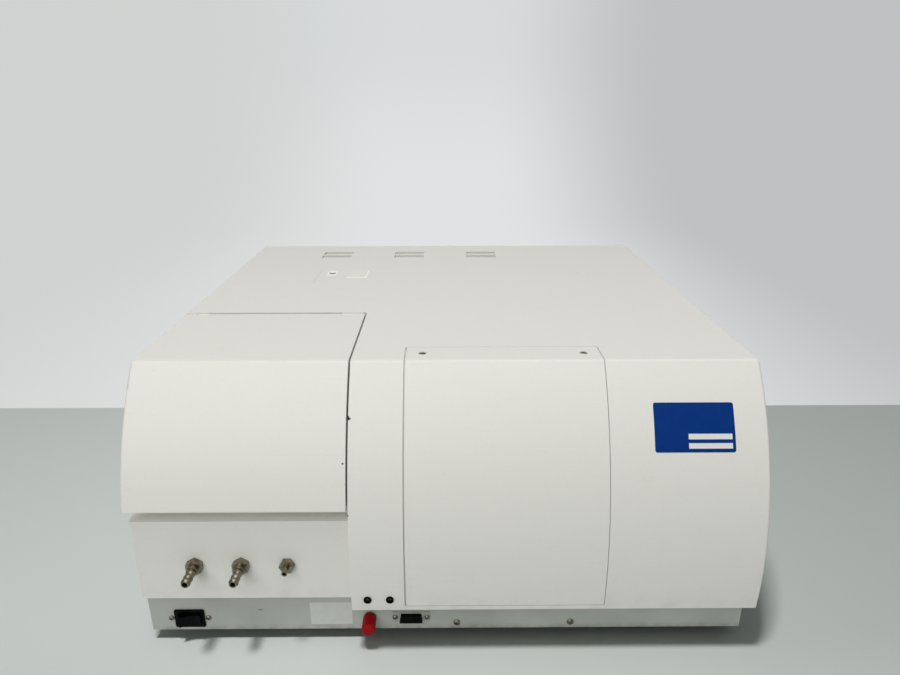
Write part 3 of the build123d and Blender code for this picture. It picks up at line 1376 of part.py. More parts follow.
export_step(lamp_house.part, "parts/lamp_house.step")

# Xenon lamp lying across the instrument: bulb, stems and end caps
half_lamp = lamp_length / 2
with BuildSketch(Plane.XZ) as lamp_section:
    with BuildLine():
        ThreePointArc((stem_radius, -bulb_length / 2), (bulb_radius, 0), (stem_radius, bulb_length / 2))
        Polyline((stem_radius, bulb_length / 2), (stem_radius, half_lamp - ferrule_length),
                 (ferrule_radius, half_lamp - ferrule_length), (ferrule_radius, half_lamp), (0, half_lamp),
                 (0, -half_lamp), (ferrule_radius, -half_lamp), (ferrule_radius, -half_lamp + ferrule_length),
                 (stem_radius, -half_lamp + ferrule_length), (stem_radius, -bulb_length / 2))
    make_face()
with BuildPart() as xenon_lamp_body:
    add(lamp_section.sketch)
    revolve(axis=Axis.Z)
with BuildPart() as xenon_lamp:
    add(xenon_lamp_body.part.moved(Plane(origin=(lamp_x, lamp_y, beam_z), z_dir=(1, 0, 0)).location))
xenon_lamp.part.label = "xenon_lamp"
export_step(xenon_lamp.part, "parts/xenon_lamp.step")

with BuildPart() as lamp_clamps:
    for side in (-1, 1):
        clamp_x = lamp_x + side * (half_lamp - ferrule_length / 2)
        block((clamp_x - lamp_clamp_width / 2, clamp_x + lamp_clamp_width / 2),
              (lamp_y - lamp_clamp_size / 2, lamp_y + lamp_clamp_size / 2),
              (plate_top, beam_z + lamp_clamp_size / 2))
    rod((lamp_x - lamp_length, lamp_y, beam_z), (1, 0, 0), ferrule_radius, 2 * lamp_length, Mode.SUBTRACT)
lamp_clamps.part.label = "lamp_clamps"
export_step(lamp_clamps.part, "parts/lamp_clamps.step")

# Collecting mirror: a hollow dish behind the lamp, on a post
with BuildPart() as collecting_mirror:
    mirror_y = lamp_y + bulb_radius + mirror_back_gap
    mirror_depth = mirror_curve_radius - sqrt(mirror_curve_radius**2 - mirror_radius**2)
    rod((lamp_x, mirror_y, beam_z), (0, 1, 0), mirror_radius, mirror_depth + mirror_edge)
    block((lamp_x - mirror_edge, lamp_x + mirror_edge), (mirror_y, mirror_y + mirror_depth + mirror_edge),
          (plate_top, beam_z - mirror_radius / 2))
    with Locations((lamp_x, mirror_y - sqrt(mirror_curve_radius**2 - mirror_radius**2), beam_z)):
        Sphere(mirror_curve_radius, mode=Mode.SUBTRACT)
collecting_mirror.part.label = "collecting_mirror"
export_step(collecting_mirror.part, "parts/collecting_mirror.step")

# Lamp fan: square frame with struts and a post, and the rotor on it
fan_front = base_back_y - fan_depth
with BuildPart() as fan_frame:
    with BuildSketch(Plane.XZ.offset(-base_back_y)) as frame_plan:
        with Locations((fan_x, fan_height)):
            RectangleRounded(fan_size, fan_size, fan_corner_round)
            Circle(fan_bore_radius, mode=Mode.SUBTRACT)
    extrude(amount=fan_depth)
    with Locations((fan_x, base_back_y - fan_strut_thick / 2, fan_height)):
        Box(2 * fan_bore_radius, fan_strut_thick, fan_strut_width)
        Box(fan_strut_width, fan_strut_thick, 2 * fan_bore_radius)
    rod((fan_x, base_back_y, fan_height), (0, -1, 0), fan_post_radius, fan_strut_thick)
    rod((fan_x, base_back_y, fan_height), (0, -1, 0), fan_shaft_radius, fan_strut_thick + 2 * fan_post_length)
fan_frame.part.label = "fan_frame"
export_step(fan_frame.part, "parts/fan_frame.step")

with BuildPart() as fan_rotor:
    hub_back = base_back_y - fan_strut_thick - clear_gap
    rod((fan_x, hub_back, fan_height), (0, -1, 0), fan_hub_radius, fan_hub_length)
    for i in range(fan_blade_count):
        spin = 360 * i / fan_blade_count
        place = Location((fan_x, hub_back - fan_hub_length / 2, fan_height), (0, spin, 0))
        with Locations(place):
            with Locations(Location(((fan_hub_radius + fan_blade_radius) / 2 - 1, 0, 0), (fan_blade_angle, 0, 0))):
                Box(fan_blade_radius - fan_hub_radius + 2, fan_blade_thick, fan_blade_chord)
    rod((fan_x, hub_back + clear_gap, fan_height), (0, -1, 0), fan_shaft_radius + running_gap,
        2 * fan_post_length + 2 * clear_gap, Mode.SUBTRACT)
fan_rotor.part.label = "fan_rotor"
export_step(fan_rotor.part, "parts/fan_rotor.step")

# Power supply: a vented box in the electronics bay
with BuildPart() as power_supply:
    block(board_x, supply_y, (floor_top, floor_top + supply_height))
    fillet(power_supply.edges().filter_by(Axis.Z), edge_round)
    block((board_x[0] + supply_wall, board_x[1] - supply_wall), (supply_y[0] + supply_wall, supply_y[1] - supply_wall),
          (floor_top + supply_wall, floor_top + supply_height - supply_wall), Mode.SUBTRACT)
    for i in range(supply_slot_count):
        slot_y = sum(supply_y) / 2 + (i - (supply_slot_count - 1) / 2) * supply_slot_pitch
        with Locations((sum(board_x) / 2, slot_y, floor_top + supply_height)):
            Box(supply_slot_length, supply_slot_width, 4 * supply_wall, mode=Mode.SUBTRACT)
power_supply.part.label = "power_supply"
export_step(power_supply.part, "parts/power_supply.step")

# Circuit board with its chips, headers and coil
board_bottom = floor_top + board_stand_height
with BuildPart() as circuit_board:
    block(board_x, board_y, (board_bottom, board_bottom + board_thick))
    board_top = board_bottom + board_thick
    for i in range(chip_count):
        chip_y = board_y[0] + chip_pitch * (i + 1)
        for x in (board_x[0] + supply_width * 0.3, board_x[0] + supply_width * 0.68):
            block((x - chip_size / 2, x + chip_size / 2), (chip_y - chip_size / 2, chip_y + chip_size / 2),
                  (board_top, board_top + chip_height))
    block((board_x[0] + board_inset, board_x[0] + board_inset + header_length),
          (board_y[0] + board_inset, board_y[0] + board_inset + header_width), (board_top, board_top + header_height))
    block((board_x[1] - board_inset - coil_size, board_x[1] - board_inset),
          (board_y[1] - board_inset - coil_size, board_y[1] - board_inset), (board_top, board_top + coil_height))
circuit_board.part.label = "circuit_board"
export_step(circuit_board.part, "parts/circuit_board.step")

# Rear panel with the fan's slots and the cut-outs for its sockets
panel_half = half_width - skin_wall - rear_panel_gap
with BuildPart() as rear_panel:
    block((-panel_half, panel_half), (base_back_y, back_y), (rear_panel_bottom, overall_height - skin_wall))
    slot_count = int(2 * fan_bore_radius // rear_slot_pitch)
    for i in range(slot_count):
        slot_z = fan_height + (i - (slot_count - 1) / 2) * rear_slot_pitch
        half_chord = sqrt(fan_bore_radius**2 - (slot_z - fan_height) ** 2)
        with Locations((fan_x, back_y, slot_z)):
            Box(2 * half_chord, 4 * rear_panel_thick, rear_slot_width, mode=Mode.SUBTRACT)
    with Locations((inlet_x, back_y, inlet_height)):
        Box(inlet_width, 4 * rear_panel_thick, inlet_tall, mode=Mode.SUBTRACT)
    with Locations((signal_x, back_y, inlet_height)):
        Box(signal_width, 4 * rear_panel_thick, signal_height, mode=Mode.SUBTRACT)
rear_panel.part.label = "rear_panel"
export_step(rear_panel.part, "parts/rear_panel.step")

with BuildPart() as mains_inlet:
    block((inlet_x - inlet_width / 2, inlet_x + inlet_width / 2), (back_y - inlet_depth, back_y),
          (inlet_height - inlet_tall / 2, inlet_height + inlet_tall / 2))
mains_inlet.part.label = "mains_inlet"
export_step(mains_inlet.part, "parts/mains_inlet.step")

with BuildPart() as signal_socket:
    block((signal_x - signal_width / 2, signal_x + signal_width / 2), (back_y - signal_depth, back_y),
          (inlet_height - signal_height / 2, inlet_height + signal_height / 2))
signal_socket.part.label = "signal_socket"
export_step(signal_socket.part, "parts/signal_socket.step")
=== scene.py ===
import math

import bmesh
import bpy
import numpy as np
from mathutils import Matrix


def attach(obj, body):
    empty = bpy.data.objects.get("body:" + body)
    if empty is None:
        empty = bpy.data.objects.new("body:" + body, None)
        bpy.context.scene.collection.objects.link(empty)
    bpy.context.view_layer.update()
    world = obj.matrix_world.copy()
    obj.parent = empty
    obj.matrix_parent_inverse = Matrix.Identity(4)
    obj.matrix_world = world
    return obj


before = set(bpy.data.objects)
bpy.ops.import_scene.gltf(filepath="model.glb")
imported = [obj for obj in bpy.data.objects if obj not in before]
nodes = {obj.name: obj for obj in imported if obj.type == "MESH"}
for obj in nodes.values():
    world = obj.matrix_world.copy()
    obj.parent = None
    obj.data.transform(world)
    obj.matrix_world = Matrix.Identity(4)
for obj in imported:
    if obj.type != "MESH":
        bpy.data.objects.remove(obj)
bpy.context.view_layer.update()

print("frame loaded:", len(nodes), "nodes")


# Shader maths

def linear(red, green, blue):
    # sRGB bytes to the linear colour that a shader takes
    shares = (byte / 255 for byte in (red, green, blue))
    return tuple(s / 12.92 if s <= 0.04045 else ((s + 0.055) / 1.055) ** 2.4 for s in shares) + (1.0,)


class Value:
    # a socket that takes part in sums: each operator adds one Math node
    def __init__(self, finish, socket):
        self.finish, self.socket = finish, socket

    def math(self, operation, *terms):
        return self.finish.add("ShaderNodeMath", {"operation": operation}, dict(enumerate(terms)))

    def __add__(self, other):
        return self.math("ADD", self, other)

    def __radd__(self, other):
        return self.math("ADD", other, self)

    def __sub__(self, other):
        return self.math("SUBTRACT", self, other)

    def __rsub__(self, other):
        return self.math("SUBTRACT", other, self)

    def __mul__(self, other):
        return self.math("MULTIPLY", self, other)

    def __rmul__(self, other):
        return self.math("MULTIPLY", other, self)

    def __abs__(self):
        return self.math("ABSOLUTE", self)

    def most(self, other):
        return self.math("MAXIMUM", self, other)

    def step(self, low, high):
        # 0 below low and 1 above high, smooth between; low above high turns it round
        return self.finish.add("ShaderNodeMapRange", {"interpolation_type": "SMOOTHSTEP"},
                               {0: self, 1: low, 2: high, 3: 0.0, 4: 1.0})


class Finish:
    # one material: a Principled shader and the nodes that feed it
    def __init__(self, name, **sockets):
        self.material = bpy.data.materials.new(name)
        self.material.use_nodes = True
        self.tree = self.material.node_tree
        self.tree.nodes.clear()
        self.shader = self.tree.nodes.new("ShaderNodeBsdfPrincipled")
        self.output = self.tree.nodes.new("ShaderNodeOutputMaterial")
        self.tree.links.new(self.shader.outputs[0], self.output.inputs[0])
        self.place = self.add("ShaderNodeTexCoord", output=3)
        self.along = [self.add("ShaderNodeSeparateXYZ", inputs={0: self.place}, output=i) for i in range(3)]
        self.set(**sockets)

    def add(self, kind, settings=None, inputs=None, output=0):
        # any node: its settings first, then values or links for its sockets
        node = self.tree.nodes.new(kind)
        for key, value in (settings or {}).items():
            if key == "stops":
                for i, (at, colour) in enumerate(value):
                    stop = node.color_ramp.elements[i] if i < 2 else node.color_ramp.elements.new(at)
                    stop.position, stop.color = at, colour
            else:
                setattr(node, key, value)
        for key, value in (inputs or {}).items():
            self.feed(node.inputs[key], value)
        return Value(self, node.outputs[output])

    def feed(self, socket, value):
        if isinstance(value, Value):
            self.tree.links.new(value.socket, socket)
        else:
            socket.default_value = value

    def set(self, **sockets):
        for key, value in sockets.items():
            self.feed(self.shader.inputs[key.replace("_", " ")], value)

    def stretched(self, stretch):
        return self.add("ShaderNodeVectorMath", {"operation": "MULTIPLY"}, {0: self.place, 1: stretch})

    def noise(self, scale, detail=2.0, stretch=(1, 1, 1)):
        return self.add("ShaderNodeTexNoise", None, {0: self.stretched(stretch), 2: scale, 3: detail})

    def cells(self, scale, stretch=(1, 1, 1), output=0):
        return self.add("ShaderNodeTexVoronoi", None, {0: self.stretched(stretch), 2: scale}, output)

    def mix(self, factor, one, two):
        return self.add("ShaderNodeMix", {"data_type": "RGBA"}, {0: factor, 6: one, 7: two}, 2)

    def bump(self, height, depth, strength=1.0, under=None):
        inputs = {"Height": height, "Distance": depth, "Strength": strength}
        if under is not None:
            inputs["Normal"] = under
        return self.add("ShaderNodeBump", None, inputs)

    def away(self, centre):
        # distance from a point
        return self.add("ShaderNodeVectorMath", {"operation": "DISTANCE"}, {0: self.place, 1: centre}, 1)

    def bar(self, low, high, soft):
        # 1 inside a box between two corners, fading over soft outside it
        inside = None
        for i in range(3):
            middle, half = (low[i] + high[i]) / 2, (high[i] - low[i]) / 2
            one = abs(self.along[i] - middle).step(half + soft, half)
            inside = one if inside is None else inside * one
        return inside


def dress(finish, *names):
    for name in names:
        mesh = nodes[name].data
        mesh.materials.clear()
        mesh.materials.append(finish.material)


# Camera, backdrop and light

camera = {"lens": 26.87, "place": (0.0, -0.8296, 0.5438), "yaw": 0.0066, "pitch": 0.3502, "roll": -0.0010}
room = {
    "benchBack": 0.2885, "sweepStart": 1.9, "sweepRadius": 0.9, "height": 3.4, "halfWidth": 6.0, "front": -4.0,
    # benchLeft, benchRight and benchFront are painted light falloff on the bench top: lighter to the left and
    # towards the front, darker to the right
    "benchLeft": (205, 211, 207), "benchRight": (189, 196, 191), "benchFront": (199, 205, 201),
    # wallLeft, wallMiddle, wallHigh and wallRight are painted light falloff on the backdrop: lightest in the
    # middle, darker to the sides
    "wallLeft": (208, 211, 209), "wallMiddle": (225, 226, 227), "wallHigh": (216, 218, 220),
    "wallRight": (191, 193, 195), "grainScale": 60, "grain": 0.02, "edge": 0.0008,
    # where each tone starts and where it is full, in metres
    "toRight": (-0.35, 0.6), "toFront": (-0.24, -0.38), "toHigh": (0.1, 0.8), "toWallLeft": (-0.2, -1.2),
    "toWallRight": (0.2, 1.1),
}
lights = {
    "world": 0.19,
    "lamps": {  # direction from the object, distance, size, power, colour
        "ceiling": ((0.05, -0.12, 1.0), 2.6, 2.0, 35.0, (1.0, 0.992, 0.972)),
        "front": ((-0.38, -1.0, 0.75), 3.2, 1.6, 37.0, (1.0, 0.996, 0.975)),
        "bench": ((-0.12, -0.31, 1.0), 2.65, 0.3, 46.5, (1.0, 1.0, 1.0)),
    },
    "onBench": {"ceiling": "EXCLUDE", "front": "EXCLUDE", "bench": "INCLUDE"},
}


def makeCamera():
    data = bpy.data.cameras.new("camera")
    data.sensor_fit = "HORIZONTAL"
    data.sensor_width = 36.0
    data.lens = camera["lens"]
    data.clip_start, data.clip_end = 0.01, 50.0
    eye = bpy.data.objects.new("camera", data)
    bpy.context.scene.collection.objects.link(eye)
    turn = Matrix.Rotation(-camera["yaw"], 4, "Z") @ Matrix.Rotation(math.pi / 2 - camera["pitch"], 4, "X")
    eye.matrix_world = Matrix.Translation(camera["place"]) @ turn @ Matrix.Rotation(camera["roll"], 4, "Z")
    bpy.context.scene.camera = eye


def gridFaces(rows, columns):
    # four corners of each cell of a rows by columns grid of points
    corner = (np.arange(rows - 1)[:, None] * columns + np.arange(columns - 1)[None, :]).ravel()
    return np.stack([corner, corner + 1, corner + columns + 1, corner + columns], axis=1)


def surface(name, points, finish, uv=None):
    # puts a grid of points, with an optional second place for each, into a mesh object
    rows, columns = points.shape[:2]
    faces = gridFaces(rows, columns)
    mesh = bpy.data.meshes.new(name)
    mesh.from_pydata(points.reshape(-1, 3).tolist(), [], faces.tolist())
    if uv is not None:
        layer = mesh.uv_layers.new(name="UVMap")
        layer.data.foreach_set("uv", uv.reshape(-1, 2)[faces.ravel()].ravel())
    mesh.materials.append(finish.material)
    made = bpy.data.objects.new(name, mesh)
    bpy.context.scene.collection.objects.link(made)
    return made


def makeRoom():
    # a flat floor that turns up into a wall through a quarter circle, carried along X
    r = room
    turn = np.linspace(0, math.pi / 2, 24)
    curveY = r["sweepStart"] + r["sweepRadius"] * np.sin(turn)
    curveZ = r["sweepRadius"] * (1 - np.cos(turn))
    y = np.concatenate([[r["front"]], curveY, [curveY[-1]]])
    z = np.concatenate([[0.0], curveZ, [r["height"]]])
    x = np.linspace(-r["halfWidth"], r["halfWidth"], 2)
    points = np.stack(np.broadcast_arrays(x[None, :], y[:, None], z[:, None]), axis=2)
    paint = Finish("benchAndWall", Roughness=0.55)
    across, back, up = paint.along
    grain = paint.noise(r["grainScale"], 3) * r["grain"]
    # painted light falloff: the bench top's colour changes from left to right and from back to front
    top = paint.mix((across + grain).step(*r["toRight"]), linear(*r["benchLeft"]), linear(*r["benchRight"]))
    top = paint.mix((back + grain).step(*r["toFront"]), top, linear(*r["benchFront"]))
    # painted light falloff on the wall: lightest in the middle, darker to the left and more so to the right
    wall = paint.mix(up.step(*r["toHigh"]), linear(*r["wallMiddle"]), linear(*r["wallHigh"]))
    wall = paint.mix(across.step(*r["toWallLeft"]), wall, linear(*r["wallLeft"]))
    wall = paint.mix(across.step(*r["toWallRight"]), wall, linear(*r["wallRight"]))
    behind = back.step(r["benchBack"] - r["edge"], r["benchBack"] + r["edge"])
    paint.set(Base_Color=paint.mix(behind, top, wall))
    # the wall, and the floor behind the bench, glow with these painted tones for camera, glossy and transmission
    # rays
    glow = paint.add("ShaderNodeEmission", None, {0: wall, 1: 1.0})
    ray = [paint.add("ShaderNodeLightPath", output=name) for name in
           ("Is Camera Ray", "Is Glossy Ray", "Is Transmission Ray")]
    seen = ray[0].most(ray[1]).most(ray[2]) * behind
    both = paint.add("ShaderNodeMixShader", None, {0: seen, 1: Value(paint, paint.shader.outputs[0]), 2: glow})
    paint.feed(paint.output.inputs[0], both)
    bench = surface("benchAndWall", points, paint)
    return bench


def makeLights(bench):
    # the bench has a small steep lamp of its own, so that the gap under the base stays dark
    world = bpy.data.worlds.new("softRoom")
    bpy.context.scene.world = world
    world.use_nodes = True
    sky = world.node_tree.nodes["Background"]
    sky.inputs[0].default_value = (1.0, 1.0, 1.0, 1.0)
    sky.inputs[1].default_value = lights["world"]
    for name, (way, distance, size, power, colour) in lights["lamps"].items():
        data = bpy.data.lights.new(name, "AREA")
        data.shape, data.size = "SQUARE", size
        data.energy, data.color = power, colour
        lamp = bpy.data.objects.new(name, data)
        way = np.array(way) / np.linalg.norm(way)
        lamp.location = way * distance
        lamp.rotation_mode = "QUATERNION"
        lamp.rotation_quaternion = lamp.location.to_track_quat("Z", "Y")
        bpy.context.scene.collection.objects.link(lamp)
        reach = bpy.data.collections.new(name + "Reach")
        reach.objects.link(bench)
        reach.collection_objects[0].light_linking.link_state = lights["onBench"][name]
        lamp.light_linking.receiver_collection = reach


makeCamera()
makeLights(makeRoom())
bpy.context.scene.view_settings.view_transform = "Standard"
print("camera, bench and lights made")


# Cover mouldings: fine-textured matt paint, slightly yellowed, with rubs and chips along the lid's seam; painted
# shade at the lid's rear corners, in a thin strip on the top, and on the lower panel's copy

coverLook = {
    # the grime colour serves the speckle, the rubs and the low darkening, and also the painted shade strip on the
    # top
    "fresh": (229, 228, 223), "aged": (223, 221, 214), "grimeAndShade": (150, 146, 134), "chip": (38, 36, 33),
    "grainScale": 1150.0, "grainDepth": 0.00006, "roughness": 0.52, "ragged": 0.0035, "chipCore": 0.55,
    # chips along the lid's seam and at its front corner; the last two, at the lid's rear corners, are painted
    # shade of the hinge notches
    "chips": [((-0.0938, -0.2509, 0.2503), 0.0026), ((-0.0988, -0.2708, 0.2122), 0.0013),
              ((-0.0944, -0.2868, 0.165), 0.0012), ((-0.0965, -0.2775, 0.1940), 0.0009),
              ((-0.3075, -0.2905, 0.1700), 0.0016), ((-0.0955, -0.0672, 0.2960), 0.0016),
              ((-0.3082, -0.0672, 0.2950), 0.0020)],
    # a thin dark strip along Y on the top: painted shade of a groove's edge
    "groove": ((-0.1840, 0.070, 0.29), (-0.1822, 0.136, 0.30)),
}


def coverPaint(name, ageAndShade):
    look = coverLook
    paint = Finish(name, Specular_IOR_Level=0.42)
    mottle = paint.noise(7, 4)
    cloud = paint.noise(38, 3)
    grain = paint.noise(look["grainScale"], 2)
    # ageAndShade moves the mottle towards the aged tone
    base = paint.mix((mottle * 0.7 + cloud * 0.3 + ageAndShade - 0.5).step(0.2, 0.8),
                     linear(*look["fresh"]), linear(*look["aged"]))
    base = paint.mix(grain.step(0.42, 0.66) * 0.05, base, linear(*look["grimeAndShade"]))
    rub = paint.noise(28, 5, (1, 1, 5)).step(0.63, 0.72) * paint.noise(300, 2, (1, 1, 6)).step(0.45, 0.7)
    base = paint.mix(rub * 0.10, base, linear(*look["grimeAndShade"]))
    # darker towards the bottom edge, in patches
    low = paint.along[2].step(0.085, 0.060) * paint.noise(55, 4).step(0.35, 0.75)
    base = paint.mix(low * 0.12, base, linear(*look["grimeAndShade"]))
    ragged = paint.noise(420, 3) * look["ragged"]
    # dark spots: chips in the paint, and painted shade at the lid's rear corners
    chips = None
    for centre, size in look["chips"]:
        one = (paint.away(centre) + ragged - look["ragged"] / 2).step(size, size * look["chipCore"])
        chips = one if chips is None else chips.most(one)
    base = paint.mix(chips, base, linear(*look["chip"]))
    # painted shade: a thin dark strip on the top, where a groove's edge would be in shade
    grooveShade = paint.bar(*look["groove"], 0.0012)
    base = paint.mix(grooveShade * 0.12, base, linear(*look["grimeAndShade"]))
    paint.set(Base_Color=base, Roughness=cloud * 0.10 + grain * 0.06 + (look["roughness"] - 0.08) + chips * 0.3)
    fine = paint.bump(grain, look["grainDepth"], 0.6)
    paint.set(Normal=paint.bump(mottle * 0.6 - chips * 0.5, 0.0004, 0.35, fine))
    return paint


# one paint in three copies: the lid's is shifted a little towards the fresh tone, the lower panel's towards the
# aged tone as painted shade
dress(coverPaint("coverPaint", 0.0), "main_cover", "centre_panel", "hinge_brackets")
dress(coverPaint("lidPaint", -0.04), "sample_lid")
dress(coverPaint("lowerPanelPaint", 0.10), "lower_front_panel")


# Base and rear sheet: grey satin enamel over folded steel

enamelLook = {
    "grey": (176, 180, 173), "dull": (164, 168, 160), "dust": (196, 195, 186), "mark": (96, 95, 90),
    "peelScale": 520.0, "peelDepth": 0.00005, "roughness": 0.44,
    "scuff": ((-0.1955, -0.2712, 0.0388), (-0.1915, -0.2690, 0.0396)),
}


def enamel():
    look = enamelLook
    paint = Finish("greyEnamel", Specular_IOR_Level=0.45)
    peel = paint.noise(look["peelScale"], 2)
    cloud = paint.noise(14, 4)
    base = paint.mix(cloud.step(0.35, 0.7), linear(*look["grey"]), linear(*look["dull"]))
    scratch = paint.noise(90, 5, (1, 6, 18)).step(0.66, 0.72) * paint.noise(24, 2).step(0.45, 0.65)
    base = paint.mix(scratch * 0.35, base, linear(*look["dust"]))
    mark = paint.bar(*look["scuff"], 0.0008)
    base = paint.mix(mark * 0.6, base, linear(*look["mark"]))
    low = paint.along[2].step(0.022, 0.014) * paint.noise(120, 4).step(0.3, 0.7)
    base = paint.mix(low * 0.4, base, linear(*look["mark"]))
    paint.set(Base_Color=base, Roughness=peel * 0.08 + cloud * 0.08 + (look["roughness"] - 0.08) + scratch * 0.1)
    paint.set(Normal=paint.bump(peel - scratch * 0.4, look["peelDepth"], 0.7))
    return paint


dress(enamel(), "base_chassis", "rear_panel")


# Black parts: baked paint in the light path, moulded plastic, rubber and foam

metalLook = {
    "nickel": (150, 143, 124), "nickelDull": (96, 88, 72), "zinc": (146, 142, 128), "zincDull": (84, 80, 70),
    "steel": (200, 200, 199), "steelDark": (140, 139, 136), "sheet": (196, 199, 202), "sheetDark": (160, 163, 168),
    "cast": (176, 178, 180), "castDark": (138, 140, 143),
}

blackLook = {
    "paint": (30, 30, 31), "paintHigh": (58, 57, 55), "plastic": (3, 3, 4), "plasticHigh": (12, 12, 13),
    "socketPlate": -0.27105,
    "rubber": (24, 24, 24), "rubberDust": (74, 72, 68), "foam": (26, 26, 27), "foamHigh": (52, 52, 53),
}


def blackPaint():
    paint = Finish("wrinkleBlack", Specular_IOR_Level=0.4)
    wrinkle = paint.cells(760)
    fine = paint.noise(1900, 2)
    worn = paint.noise(40, 4).step(0.58, 0.78)
    base = paint.mix(wrinkle.step(0.2, 0.9) * 0.5 + worn * 0.3, linear(*blackLook["paint"]),
                     linear(*blackLook["paintHigh"]))
    paint.set(Base_Color=base, Roughness=wrinkle * 0.15 + 0.55)
    paint.set(Normal=paint.bump(wrinkle + fine * 0.3, 0.00012, 0.6))
    return paint


def blackPlastic(name, roughness, grainScale, plate=None):
    # a plate, if there is one, is grey enamel from its front face backwards
    paint = Finish(name, Specular_IOR_Level=0.06)
    grain = paint.noise(grainScale, 2)
    dust = paint.noise(75, 5).step(0.52, 0.85)
    base = paint.mix(grain.step(0.4, 0.8) * 0.3 + dust * 0.35, linear(*blackLook["plastic"]),
                     linear(*blackLook["plasticHigh"]))
    if plate is not None:
        base = paint.mix(paint.along[1].step(plate - 0.0001, plate), base, linear(*enamelLook["dull"]))
    paint.set(Base_Color=base, Roughness=grain * 0.12 + dust * 0.15 + roughness)
    paint.set(Normal=paint.bump(grain, 0.00005, 0.5))
    return paint


def rubber():
    paint = Finish("footRubber", Specular_IOR_Level=0.35)
    grain = paint.noise(900, 3)
    dust = paint.noise(45, 5)
    low = paint.along[2].step(0.008, 0.0)
    base = paint.mix(dust.step(0.45, 0.8) * 0.4 + low * 0.3, linear(*blackLook["rubber"]),
                     linear(*blackLook["rubberDust"]))
    paint.set(Base_Color=base, Roughness=grain * 0.15 + 0.7)
    paint.set(Normal=paint.bump(grain, 0.0001, 0.6))
    return paint


def foam():
    paint = Finish("sealFoam", Specular_IOR_Level=0.2)
    pores = paint.cells(1300)
    base = paint.mix(pores.step(0.1, 0.7), linear(*blackLook["foam"]), linear(*blackLook["foamHigh"]))
    paint.set(Base_Color=base, Roughness=pores * 0.1 + 0.85)
    paint.set(Normal=paint.bump(pores, 0.0003, 0.9))
    return paint


dress(blackPaint(), "sample_chamber", "cell_holder", "holder_base", "excitation_housing", "emission_housing",
      "housing_lids", "tube_housing", "monitor_detector", "excitation_slit_wheel",
      "emission_slit_wheel", "shutter_blade", "lens_barrels")
dress(blackPlastic("switchPlastic", 0.30, 1500), "power_switch_body", "power_rocker", "status_lamp_bezels")
dress(blackPlastic("socketPlastic", 0.42, 1100), "mains_inlet", "signal_socket", "fan_frame", "fan_rotor")
dress(blackPlastic("dataSocketPlastic", 0.42, 1100, blackLook["socketPlate"]), "data_socket")
dress(rubber(), "rubber_feet", "cover_buffers", "optics_mounts")
dress(foam(), "light_seal")


# Metals

def turned(name, bright, dull, lineScale, roughness):
    # lathe lines run round the nozzles' axis, so they follow Y; tarnish gathers in patches
    paint = Finish(name, Metallic=1.0)
    lines = paint.noise(lineScale, 1, (0.04, 1, 0.04))
    tarnish = paint.noise(210, 4)
    base = paint.mix(tarnish.step(0.4, 0.75) * 0.75 + lines * 0.15, linear(*bright), linear(*dull))
    paint.set(Base_Color=base, Roughness=tarnish * 0.18 + lines * 0.08 + roughness)
    paint.set(Normal=paint.bump(lines + tarnish * 0.4, 0.00004, 0.6))
    return paint


def brushed(name, bright, dull, stretch, roughness):
    paint = Finish(name, Metallic=1.0)
    hair = paint.noise(420, 3, stretch)
    patch = paint.noise(22, 3)
    base = paint.mix(hair * 0.5 + patch * 0.5, linear(*bright), linear(*dull))
    paint.set(Base_Color=base, Roughness=hair * 0.2 + patch * 0.1 + roughness)
    paint.set(Normal=paint.bump(hair, 0.00004, 0.5))
    return paint


def spangled():
    paint = Finish("spangledSheet", Metallic=1.0)
    flake = paint.cells(95, output=1)
    tone = paint.add("ShaderNodeSeparateColor", None, {0: flake})
    fine = paint.noise(600, 2)
    base = paint.mix(tone * 0.8 + fine * 0.1, linear(*metalLook["sheet"]), linear(*metalLook["sheetDark"]))
    paint.set(Base_Color=base, Roughness=tone * 0.22 + 0.30)
    paint.set(Normal=paint.bump(fine + tone * 0.3, 0.00003, 0.4))
    return paint


def castMetal():
    paint = Finish("castPlate", Metallic=1.0)
    sand = paint.noise(620, 4)
    flow = paint.noise(16, 3)
    base = paint.mix(sand * 0.5 + flow * 0.4, linear(*metalLook["cast"]), linear(*metalLook["castDark"]))
    paint.set(Base_Color=base, Roughness=sand * 0.2 + 0.42)
    paint.set(Normal=paint.bump(sand, 0.00015, 0.7))
    return paint


dress(turned("nickelFittings", metalLook["nickel"], metalLook["nickelDull"], 2600, 0.24),
      "water_inlet", "water_outlet", "dry_air_inlet", "nozzle_nuts")
dress(turned("zincScrews", metalLook["zinc"], metalLook["zincDull"], 1800, 0.30),
      "pan_head_screws", "small_screws", "capped_socket")
dress(brushed("machinedSteel", metalLook["steel"], metalLook["steelDark"], (0.08, 1, 1), 0.26),
      "hinge_pins", "excitation_turntable", "emission_turntable", "lamp_clamps", "shutter_solenoid")
dress(brushed("motorSteel", metalLook["steelDark"], metalLook["castDark"], (1, 1, 0.08), 0.34), "grating_motors")
dress(spangled(), "lamp_house", "power_supply")
dress(castMetal(), "optics_plate")


# Optics: quartz, mirror coats and the ruled gratings

opticsLook = {"quartz": (236, 242, 246), "silver": (222, 225, 230), "haze": (190, 194, 200), "ruleScale": 5200.0}


def quartz(name, wash):
    glass = Finish(name, IOR=1.46, Transmission_Weight=1.0)
    haze = glass.noise(60, 4)
    glass.set(Base_Color=glass.mix(haze * wash, linear(*opticsLook["quartz"]), linear(*opticsLook["haze"])),
              Roughness=haze.step(0.5, 0.9) * 0.08 + 0.01)
    glass.set(Normal=glass.bump(haze, 0.00002, 0.2))
    return glass


